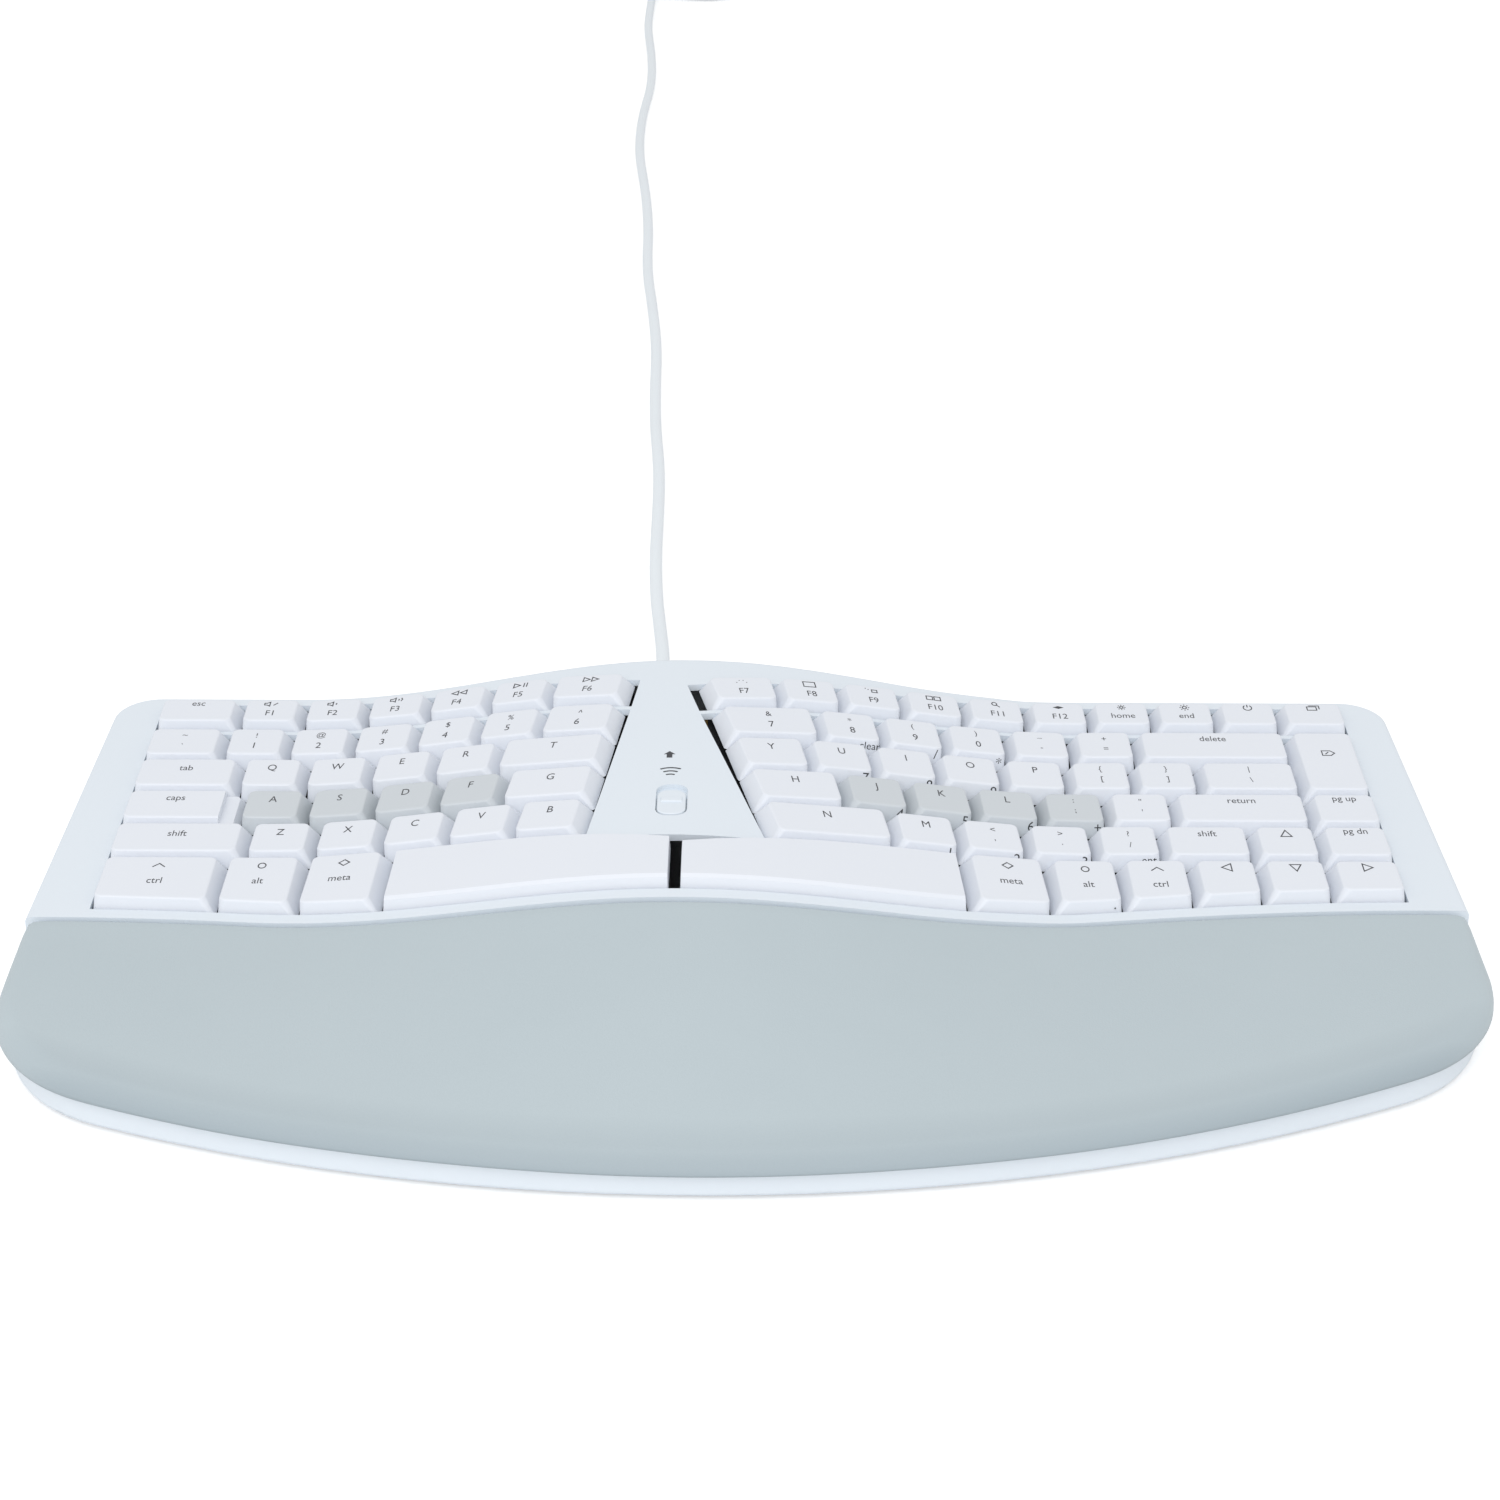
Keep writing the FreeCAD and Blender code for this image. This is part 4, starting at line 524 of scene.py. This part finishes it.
def padSide(sign):
    # from the rear edge round the side to the front, between the two ends of the ridge
    count = pad["sidePoints"]
    rearX = np.linspace(pad["ridge"], sideX(pad["sideTopY"]) - pad["sideInset"], count["rear"])
    rear = np.stack([rearX * sign, padRear(rearX * sign) - pad["gap"]], axis=1)
    sideY = np.linspace(rear[-1, 1] - pad["sideStart"], board["widestY"], count["side"])
    side = np.stack([sideX(sideY) * sign, sideY], axis=1)
    turn = np.linspace(0.0, pi / 2, count["front"])
    frontX = pad["ridge"] + (board["halfPalm"] - pad["ridge"]) * np.cos(turn)
    front = np.stack([frontX * sign, frontY(frontX * sign)], axis=1)
    return evened(np.concatenate([rear, side, front]), pad["sideSteps"])


def padOutline():
    # closed line seen from above, anticlockwise from the right end of the ridge's rear side
    across = np.linspace(pad["ridge"], -pad["ridge"], pad["acrossSteps"])[1:-1]
    rear = np.stack([across, padRear(across) - pad["gap"]], axis=1)
    front = np.stack([across[::-1], frontY(across[::-1])], axis=1)
    line = np.concatenate([rear, padSide(-1), front, padSide(1)[::-1]])
    for _ in range(pad["easing"]):  # each point becomes a quarter, a half and a quarter of three
        line = (np.roll(line, 1, axis=0) + 2 * line + np.roll(line, -1, axis=0)) / 4
    return line


def rollWidth(line, inward):
    # how far the rolled edge reaches in: the front's width where the edge faces forward, else the
    # side's, growing from the rear's by the square root of the distance from the rear line
    facing = np.clip((inward[:, 1] - pad["facingFrom"]) / pad["facingSpan"], 0.0, 1.0)
    full = pad["sideRoll"] + (pad["frontRoll"] - pad["sideRoll"]) * facing
    behind = padRear(line[:, 0]) - line[:, 1] - pad["rearFlat"]
    fromRear = np.clip(behind / pad["rollGrowth"], 0.0, 1.0)
    return pad["rearRoll"] + (full - pad["rearRoll"]) * np.sqrt(fromRear)


def padRings():
    # out from the ridge on the bed, up a quarter of an ellipse from bed to top at the edge, and back
    # to the ridge on the top; the ridge is half way between the rear and the front line
    line = padOutline()
    ahead = np.roll(line, -1, axis=0) - np.roll(line, 1, axis=0)
    ahead /= np.hypot(ahead[:, 0], ahead[:, 1])[:, None]
    inward = np.stack([-ahead[:, 1], ahead[:, 0]], axis=1)
    roll = rollWidth(line, inward)
    ridgeX = np.clip(line[:, 0], -pad["ridge"], pad["ridge"])
    ridge = np.stack([ridgeX, (padRear(ridgeX) + frontY(ridgeX)) / 2], axis=1)
    bedEdge = line + inward  # one millimetre in
    rings = []
    for share in (0.0, 0.5, 1.0):
        spot = ridge + (bedEdge - ridge) * share
        rings.append(np.column_stack([spot, padBed(spot[:, 0], spot[:, 1]) + pad["bedLift"]]))
    for index in range(pad["rollSteps"] + 1):
        turn = pi / 2 * index / pad["rollSteps"]
        spot = line + inward * (roll * (1 - cos(turn)))[:, None]
        low = padBed(spot[:, 0], spot[:, 1]) + pad["edgeLift"]
        high = padTop(spot[:, 0], spot[:, 1])
        rings.append(np.column_stack([spot, low + (high - low) * sin(turn)]))
    edge = rings[-1][:, :2]
    for index in range(1, pad["inward"] + 1):
        spot = edge + (ridge - edge) * index / pad["inward"]
        rings.append(np.column_stack([spot, padTop(spot[:, 0], spot[:, 1])]))
    return rings


def addPad():
    rings = padRings()
    thing = addMesh("palm_pad_skin", np.concatenate(rings), gridFaces(len(rings), len(rings[0])))
    weld(thing)
    thing.data.materials.append(palmLeather)
    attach(thing, "base")
    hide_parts("palm_pad")


addPad()
print("palm pad: done")

# Key places, worked out as the solids have them, in millimetres
layout = {
    "pitch": 19.05, "gap": 0.7, "functionBar": 2.2, "functionDepth": 16.9, "homeRow": 45.4,
    "rowsUp": {"function": 3, "number": 2, "top": 1, "home": 0, "bottom": -1, "space": -2},
    "outerX": {"left": -178.0, "right": 179.0}, "spineRef": 58.0, "spineGap": 0.5,
    "spineEdge": {"left": -39.4, "right": -6.6}, "spineSlope": {"left": 0.119, "right": -0.224},
    "outerRun": 0.4, "innerRun": 2.9, "frontRun": 1.5, "capHeight": 5.2,
    "frontGap": 0.15, "slotX": -18.5, "endGap": 0.85,
}
keyRows = {
    "left": {
        "function": "escape f1 f2 f3 f4 f5 f6",
        "number": "grave 1 2 3 4 5 6",
        "top": "tab q w e r t",
        "home": "caps_lock a s d f g",
        "bottom": "shift_left z x c v b",
        "space": "control_left option_left command_left",
    },
    "right": {  # column is the room that the tall forward delete key takes in the second row
        "function": "screens power end home f12 f11 f10 f9 f8 f7",
        "number": "forward_delete delete equals minus 0 9 8 7",
        "top": "column backslash bracket_right bracket_left p o i u y",
        "home": "page_up return quote semicolon l k j h",
        "bottom": "page_down arrow_up shift_right slash period comma m n",
        "space": "arrow_right arrow_down arrow_left control_right option_right command_right",
    },
}
keyWidths = {
    "escape": 25.2, "grave": 23.5, "tab": 30.8, "caps_lock": 33.7, "shift_left": 38.3,
    "control_left": 34.1, "option_left": 22.4, "command_left": 23.0,
    "screens": 20.4, "forward_delete": 20.4, "column": 20.4, "page_up": 20.4, "page_down": 20.4,
    "arrow_right": 20.4, "delete": 45.4, "backslash": 29.3, "return": 38.8, "shift_right": 25.2,
    "control_right": 19.5, "option_right": 20.0, "command_right": 22.9,
}
fillKeys = ("f6", "6", "t", "g", "b", "f7", "7", "y", "h", "n")  # these reach to the spine's edge
nodeOfKeys = {
    "key_escape": "escape", "keys_f1_to_f6": "f1 f2 f3 f4 f5 f6",
    "keys_f7_to_f12": "f12 f11 f10 f9 f8 f7", "keys_home_to_screens": "home end power screens",
    "keys_grave_to_6": "grave 1 2 3 4 5 6", "keys_7_to_equals": "7 8 9 0 minus equals",
    "key_delete": "delete", "key_forward_delete": "forward_delete", "key_tab": "tab",
    "keys_q_to_t": "q w e r t", "keys_y_to_backslash": "y u i o p bracket_left bracket_right backslash",
    "key_caps_lock": "caps_lock", "keys_a_to_f": "a s d f", "key_g": "g", "key_h": "h",
    "keys_j_to_semicolon": "j k l semicolon", "key_quote": "quote", "key_return": "return",
    "key_shift_left": "shift_left", "keys_z_to_b": "z x c v b",
    "keys_n_to_slash": "n m comma period slash", "key_shift_right": "shift_right",
    "keys_page_up_down": "page_up page_down", "key_control_left": "control_left",
    "key_option_left": "option_left", "key_command_left": "command_left",
    "key_command_right": "command_right", "key_option_right": "option_right",
    "key_control_right": "control_right", "key_arrow_up": "arrow_up",
    "key_arrow_left": "arrow_left", "key_arrow_down": "arrow_down",
    "key_arrow_right": "arrow_right", "key_space_right": "space_right",
}


def spineEdgeX(half, y):
    # straight line: the edge at the reference y, and its slope times the distance from there
    return layout["spineEdge"][half] + layout["spineSlope"][half] * (y - layout["spineRef"])


def keyFrame(half, x, y):
    # origin on the wave; across the key along its row, up the key along its column, and out;
    # the slopes are the wave's rise over the millimetre around the key's centre
    sign = -1 if half == "left" else 1
    slopeX = float(wave(x + 0.5, y) - wave(x - 0.5, y))
    slopeY = float(wave(x, y + 0.5) - wave(x, y - 0.5))
    turn = sign * float(leanAt(half, x))
    along = Vector((1.0, turn, slopeX + slopeY * turn)).normalized()
    out = Vector((-slopeX, -slopeY, 1.0)).normalized()
    origin = Vector((x, y, board["keyTop"] + float(wave(x, y))))
    return origin, along, out.cross(along), out


def addKey(places, name, half, x, y, width, depth):
    # left, right and front are the skirt's edges in the key's own frame
    places[name] = {
        "half": half, "x": x, "y": y, "frame": keyFrame(half, x, y),
        "left": (layout["gap"] - width) / 2, "right": (width - layout["gap"]) / 2,
        "front": (layout["gap"] - depth) / 2,
    }


def layOutRow(places, half, row, names):
    # keys from the outer side inwards, each beside the last; a fill key takes what is left
    pitch = layout["pitch"]
    sign = -1 if half == "left" else 1
    edge = layout["outerX"][half]
    depth = layout["functionDepth"] if row == "function" else pitch
    line = layout["homeRow"] + layout["rowsUp"][row] * pitch - (pitch - depth) / 2
    line += layout["functionBar"] if row == "function" else 0.0
    for name in names:
        width = keyWidths.get(name, pitch)
        x = edge - sign * width / 2
        y = line - float(dipAt(half, x))
        if name in fillKeys:
            for _ in range(2):  # the spine's edge slants, so x and y settle together
                inner = spineEdgeX(half, y) + sign * layout["spineGap"]
                x = (edge + inner) / 2
                y = line - float(dipAt(half, x))
            slope = float(wave(edge, y) - wave(inner, y)) / (edge - inner)
            width = abs(edge - inner) * (1 + slope ** 2) ** 0.5 / cos(float(leanAt(half, x)))
            addKey(places, name, half, x, y, width, depth)
            continue
        slope = float(wave(x + 1, y) - wave(x - 1, y)) / 2
        step = width * cos(float(leanAt(half, x))) / (1 + slope ** 2) ** 0.5
        x = edge - sign * step / 2
        edge -= sign * step
        y = line - float(dipAt(half, x))
        if name == "forward_delete":  # two rows deep
            addKey(places, name, half, x, y - pitch / 2, width, 2 * pitch)
        elif name != "column":
            addKey(places, name, half, x, y, width, depth)
        if row == "space":
            front = float(wellFront(x)) + layout["gap"] / 2 + layout["frontGap"]
            places[name]["front"] = front - y


def layOutKeys():
    places = {}
    for half, rows in keyRows.items():
        for row, names in rows.items():
            layOutRow(places, half, row, names.split())
    # the right space bar: from its neighbour to the slot, and from the bottom row to the front line
    last = places["command_right"]
    outer = last["x"] + last["left"] * cos(float(leanAt("right", last["x"])))
    outer -= layout["gap"] / 2 + layout["endGap"]
    x = (outer + layout["slotX"]) / 2
    rear = layout["homeRow"] - 1.5 * layout["pitch"] - float(dipAt("right", x))
    front = float(wellFront(x))
    addKey(places, "space_right", "right", x, (rear + front) / 2, outer - layout["slotX"],
           rear - front - 2 * layout["frontGap"])
    return places


# Printed marks: what stands on each key, with sizes in millimetres
legend = {
    "thick": 0.02, "letter": 3.5, "upper": 2.9, "word": 3.2, "small": 3.3, "pad": 4.0, "padWord": 3.2,
    "tall": 1.4, "padTall": 1.0, "iconTall": 1.3, "capsX": -1.5, "padX": -2.2, "padWordX": -3.2,
    "single": 2.7, "pairUpper": 3.5, "pairLower": -2.6, "icon": 3.7, "underIcon": -1.9,
    "bottomIcon": 2.9, "bottomWord": -5.5, "flankMiddle": 3.3, "line": 0.34, "sharpest": 0.35,
    "middle": {"small": 0.27, "capital": 0.36, "quote": 0.45}, "weld": 0.002, "curveSteps": 3,
    "rayInside": 0.12, "rayOutside": 0.28,
}
singles = dict(zip("qwertyuiopasdfghjklzxcvbnm", "QWERTYUIOPASDFGHJKLZXCVBNM"))
words = {
    "escape": ("esc", 3.7), "tab": ("tab", 1.9), "caps_lock": ("caps", 3.0), "shift_left": ("shift", 1.4),
    "delete": ("delete", 3.4), "return": ("return", 3.6), "shift_right": ("shift", 3.4),
    "page_up": ("pg up", 5.0), "page_down": ("pg dn", 5.1),
}
pairs = {
    "grave": "~`", "1": "!1", "2": "@2", "3": "#3", "4": "$4", "5": "%5", "6": "^6", "7": "&7",
    "8": "*8", "9": "(9", "0": ")0", "minus": "_-", "equals": "+=", "bracket_left": "{[",
    "bracket_right": "}]", "backslash": "|\\", "semicolon": ":;", "quote": "\"'", "comma": "<,",
    "period": ">.", "slash": "?/",
}
icons = {
    "f1": ("speakerOff", "F1"), "f2": ("speakerLow", "F2"), "f3": ("speakerHigh", "F3"),
    "f4": ("rewind", "F4"), "f5": ("playPause", "F5"), "f6": ("forward", "F6"),
    "f7": ("dots", "F7"), "f8": ("panel", "F8"), "f9": ("dotPanel", "F9"),
    "f10": ("twoPanels", "F10"), "f11": ("lens", "F11"), "f12": ("lozenge", "F12"),
    "home": ("sun", "home"), "end": ("bigSun", "end"), "power": ("power", ""),
    "screens": ("screens", ""),
}
bottomMarks = {
    "control_left": ("caret", "ctrl"), "control_right": ("caret", "ctrl"), "option_left": ("ring", "alt"),
    "option_right": ("ring", "alt"), "command_left": ("diamond", "meta"),
    "command_right": ("diamond", "meta"),
}
arrows = {
    "arrow_left": ("left", 3.9), "arrow_right": ("right", 4.1), "arrow_down": ("down", 3.9),
    "arrow_up": ("up", 3.8), "forward_delete": ("eraser", 4.4),
}
padMarks = {
    "8": "clear", "9": "/", "0": "*", "u": "7", "i": "8", "o": "9", "p": "-", "j": "4", "k": "5",
    "l": "6", "semicolon": "+", "m": "1", "comma": "2", "period": "3", "slash": "ent",
    "space_right": "0", "option_right": ".",
}


def circleLine(x, y, radius, count=20, start=0.0, end=360.0):
    # points (x + r cos t, y + r sin t) for t from start to end in degrees
    turn = np.radians(np.linspace(start, end, count, endpoint=end - start < 360.0))
    return np.column_stack([x + radius * np.cos(turn), y + radius * np.sin(turn)])


def boxLine(x, y, w, h):
    # corners at w to either side of the middle, and h above and below it
    return [(x - w, y - h), (x + w, y - h), (x + w, y + h), (x - w, y + h)]


def stroke(points, closed=False, wide=1.0):
    # outline of a line of the legends' width: the points moved to both sides along their normals
    points = np.asarray(points, dtype=float)
    if closed:
        ahead = np.roll(points, -1, axis=0) - points
        behind = points - np.roll(points, 1, axis=0)
    else:
        ahead = np.diff(points, axis=0, append=2 * points[-1:] - points[-2:-1])
        behind = np.diff(points, axis=0, prepend=2 * points[:1] - points[1:2])
    ahead = ahead / np.linalg.norm(ahead, axis=1)[:, None]
    behind = behind / np.linalg.norm(behind, axis=1)[:, None]
    middle = ahead + behind
    middle /= np.linalg.norm(middle, axis=1)[:, None]
    reach = wide * legend["line"] / 2 / np.maximum((middle * ahead).sum(axis=1), legend["sharpest"])
    side = np.column_stack([-middle[:, 1], middle[:, 0]]) * reach[:, None]
    if closed:
        return [points + side, points - side]
    return [np.concatenate([points + side, (points - side)[::-1]])]


def sunRays(reach):
    # eight short lines, 45 degrees apart, across a circle of that radius
    rays = []
    for turn in np.radians(np.arange(0, 360, 45)):
        way = np.array([np.cos(turn), np.sin(turn)])
        rays.append(stroke([way * (reach - legend["rayInside"]), way * (reach + legend["rayOutside"])]))
    return rays


# Icons in millimetres: each is a list of shapes, and a shape is its outline and perhaps its hole
cone = [(-2.2, -0.45), (-1.5, -0.45), (-0.6, -1.0), (-0.6, 1.0), (-1.5, 0.45), (-2.2, 0.45)]
drawings = {
    "caret": [stroke([(-1.7, -0.7), (0, 0.7), (1.7, -0.7)])],
    "ring": [stroke(circleLine(0, 0, 1.05), True)],
    "diamond": [stroke([(-1.5, 0), (0, -1.2), (1.5, 0), (0, 1.2)], True)],
    "left": [stroke([(-1.45, 0), (1.25, -1.55), (1.25, 1.55)], True)],
    "right": [stroke([(1.45, 0), (-1.25, 1.55), (-1.25, -1.55)], True)],
    "down": [stroke([(0, -1.45), (1.55, 1.25), (-1.55, 1.25)], True)],
    "up": [stroke([(0, 1.45), (-1.55, -1.25), (1.55, -1.25)], True)],
    "eraser": [stroke([(-1.8, -1.1), (0.7, -1.1), (1.9, 0), (0.7, 1.1), (-1.8, 1.1)], True),
               stroke([(-0.9, -0.5), (0.1, 0.5)])],
    "speakerOff": [stroke(cone, True), stroke([(0.5, -0.6), (1.7, 0.6)])],
    "speakerLow": [stroke(cone, True), stroke([(0.3, -0.4), (0.5, 0.0), (0.3, 0.4)])],
    "speakerHigh": [stroke(cone, True), stroke([(0.3, -0.4), (0.5, 0.0), (0.3, 0.4)]),
                    stroke([(1.1, -0.8), (1.5, 0.0), (1.1, 0.8)])],
    "rewind": [stroke([(-2.4, 0), (-0.4, -1.0), (-0.4, 1.0)], True),
               stroke([(0.2, 0), (2.2, -1.0), (2.2, 1.0)], True)],
    "playPause": [stroke([(-2.2, -1.0), (-0.2, 0), (-2.2, 1.0)], True),
                  stroke([(0.9, -1.0), (0.9, 1.0)]), stroke([(1.8, -1.0), (1.8, 1.0)])],
    "forward": [stroke([(-2.2, -1.0), (-0.2, 0), (-2.2, 1.0)], True),
                stroke([(0.4, -1.0), (2.4, 0), (0.4, 1.0)], True)],
    "dots": [[circleLine(-1.5, -0.4, 0.17, 8)], [circleLine(-0.6, 0.6, 0.17, 8)],
             [circleLine(0.6, 0.6, 0.17, 8)], [circleLine(1.5, -0.4, 0.17, 8)]],
    "panel": [stroke(boxLine(0, 0, 1.8, 1.15), True)],
    "dotPanel": [stroke(boxLine(0.9, -0.1, 0.8, 0.6), True), [circleLine(-0.9, 0.5, 0.2, 8)],
                 [circleLine(-1.7, 0.9, 0.2, 8)]],
    "twoPanels": [stroke(boxLine(-1.15, 0, 0.95, 0.85), True),
                  stroke(boxLine(1.25, 0, 0.95, 0.85), True)],
    "lens": [stroke(circleLine(-0.3, 0.3, 0.75), True), stroke([(0.35, -0.35), (1.2, -1.1)])],
    "lozenge": [[[(-1.7, 0), (0, -0.7), (1.7, 0), (0, 0.7)]]],
    "sun": [stroke(circleLine(0, 0, 0.5, 14), True)] + sunRays(1.0),
    "bigSun": [stroke(circleLine(0, 0, 0.62, 14), True)] + sunRays(1.2),
    "power": [stroke(circleLine(0, 0, 1.25, 18, 125.0, 415.0)), stroke([(0, 0.2), (0, 1.5)])],
    "screens": [stroke(boxLine(-0.35, -0.25, 1.4, 0.85), True),
                stroke([(-1.2, 1.1), (1.9, 1.1), (1.9, -0.6)])],
}


def asMesh(data):
    # a curve or text object turned into points and faces
    thing = bpy.data.objects.new("flat", data)
    mesh = bpy.data.meshes.new_from_object(thing)
    points = np.empty(len(mesh.vertices) * 3)
    mesh.vertices.foreach_get("co", points)
    faces = [list(polygon.vertices) for polygon in mesh.polygons]
    bpy.data.objects.remove(thing)
    bpy.data.meshes.remove(mesh)
    return points.reshape(-1, 3), faces


def joined(parts):
    # one set of points and faces from several
    points = np.concatenate([part[0] for part in parts])
    faces = []
    first = 0
    for some, numbers in parts:
        faces += [[first + number for number in face] for face in numbers]
        first += len(some)
    return points, faces


def printedWord(text, size, tall):
    # centred on half the height of capitals or, for words, of small letters; a sign on its own middle
    data = bpy.data.curves.new("word", "FONT")
    data.body = text
    data.align_x = "CENTER"
    data.resolution_u = legend["curveSteps"]
    data.extrude = legend["thick"] / size
    points, faces = asMesh(data)
    middle = legend["middle"]["small" if text.islower() and len(text) > 1 else "capital"]
    if len(text) == 1 and not text.isalnum():
        middle = (points[:, 1].max() + points[:, 1].min()) / 2
    if text in "'\"`":
        middle = legend["middle"]["quote"]
    points[:, 0] -= (points[:, 0].max() + points[:, 0].min()) / 2
    points[:, 1] -= middle
    return points * np.array([size, size * tall, size]), faces


def flatShapes(shapes):
    # thin filled plates from outlines and their holes
    parts = []
    for loops in shapes:
        data = bpy.data.curves.new("icon", "CURVE")
        data.dimensions = "2D"
        data.fill_mode = "BOTH"
        data.extrude = legend["thick"]
        for loop in loops:
            loop = np.asarray(loop, dtype=float)
            spline = data.splines.new("POLY")
            spline.points.add(len(loop) - 1)
            flat = np.column_stack([loop, np.zeros(len(loop)), np.ones(len(loop))])
            spline.points.foreach_set("co", flat.ravel())
            spline.use_cyclic_u = True
        parts.append(asMesh(data))
    return joined(parts)


def printedIcon(name):
    points, faces = flatShapes(drawings[name])
    return points * np.array([1.0, legend["iconTall"], 1.0]), faces


def onTop(key, shape, x, y):
    # lays a flat shape on the key's top: x from the middle of the top, y up the key from its centre
    points, faces = shape
    origin, along, across, out = (np.array(v) for v in key["frame"])
    inner, outer = layout["innerRun"], layout["outerRun"]
    left, right = (outer, inner) if key["half"] == "left" else (inner, outer)
    middle = (key["left"] + left + key["right"] - right) / 2
    placed = (origin + (points[:, :1] + middle + x) * along + (points[:, 1:2] + y) * across
              + points[:, 2:] * out)
    return placed, faces


def onFlank(key, shape, x, up):
    # stands a flat shape on the key's front flank: x from its right edge, up from the skirt's edge
    points, faces = shape
    origin, along, across, out = (np.array(v) for v in key["frame"])
    rise = np.array([layout["frontRun"], layout["capHeight"]])
    rise /= np.hypot(*rise)
    climb = across * rise[0] + out * rise[1]
    away = out * rise[0] - across * rise[1]
    foot = origin + key["front"] * across - layout["capHeight"] * out
    placed = (foot + (points[:, :1] + key["right"] + x) * along + (points[:, 1:2] + up) * climb
              + points[:, 2:] * away)
    return placed, faces


def topWord(key, text, size, y, x=0.0):
    return onTop(key, printedWord(text, legend[size], legend["tall"]), x, y)


def topIcon(key, name, y):
    return onTop(key, printedIcon(name), 0.0, y)


def keyPrint(name, key):
    # every mark on one key's top
    found = []
    if name in singles:
        found.append(topWord(key, singles[name], "letter", legend["single"]))
    if name in words:
        text, y = words[name]
        found.append(topWord(key, text, "word", y, legend["capsX"] if name == "caps_lock" else 0.0))
    if name in pairs:
        upper, lower = pairs[name]
        found.append(topWord(key, upper, "upper", legend["pairUpper"]))
        found.append(topWord(key, lower, "letter" if lower.isdigit() else "upper", legend["pairLower"]))
    if name in icons:
        icon, text = icons[name]
        found.append(topIcon(key, icon, legend["icon"]))
        if text:
            found.append(topWord(key, text, "word" if text.islower() else "small", legend["underIcon"]))
    if name in bottomMarks:
        icon, text = bottomMarks[name]
        found.append(topIcon(key, icon, legend["bottomIcon"]))
        found.append(topWord(key, text, "word", legend["bottomWord"]))
    if name in arrows:
        icon, y = arrows[name]
        found.append(topIcon(key, icon, y))
    return found


def padPrint(mark, key):
    # the number pad's mark on one key's front flank
    single = len(mark) == 1
    shape = printedWord(mark, legend["pad" if single else "padWord"], legend["padTall"])
    return onFlank(key, shape, legend["padX" if single else "padWordX"], legend["flankMiddle"])


def addPrint(name, parts, finish, body):
    points, faces = joined(parts)
    thing = addMesh(name, points, faces, False)
    thing.data.materials.append(finish)
    weld(thing, legend["weld"], False)
    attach(thing, body)


def addLegends():
    places = layOutKeys()
    for node, names in nodeOfKeys.items():
        top = []
        flank = []
        for name in names.split():
            top += keyPrint(name, places[name])
            if name in padMarks:
                flank.append(padPrint(padMarks[name], places[name]))
        if top:
            addPrint("legends_" + node, top, legendInk, node)
        if flank:
            addPrint("pad_marks_" + node, flank, padInk, node)


# Behind the slide switch: a filled arrow, and three arcs by their middle's y and half width
spineMarks = {
    "arrow": [(-0.8, -1.9), (0.8, -1.9), (0.8, 0.1), (1.65, 0.1), (0, 1.9), (-1.65, 0.1), (-0.8, 0.1)],
    "arrowPlace": (-23.0, 56.1), "arcX": -22.5, "arcs": ((48.1, 2.9), (46.2, 2.0), (44.3, 1.2)),
    "widest": 2.9, "bow": 0.75, "arcWide": 1.7, "arcPoints": 13, "lift": 0.02,
}


def addSpineMarks():
    shapes = [[np.array(spineMarks["arrow"]) + spineMarks["arrowPlace"]]]
    for y, reach in spineMarks["arcs"]:
        # each arc is part of a parabola, highest in its middle
        across = np.linspace(-1, 1, spineMarks["arcPoints"])
        drop = spineMarks["bow"] * reach / spineMarks["widest"] * across ** 2
        arc = np.column_stack([spineMarks["arcX"] + reach * across, y - drop])
        shapes.append(stroke(arc, wide=spineMarks["arcWide"]))
    points, faces = flatShapes(shapes)
    deck = board["keyTop"] - board["deckDrop"]
    points[:, 2] += deck + wave(points[:, 0], points[:, 1]) + spineMarks["lift"]
    addPrint("spine_marks", [(points, faces)], legendInk, "base")


addLegends()
addSpineMarks()
print("legends: done")
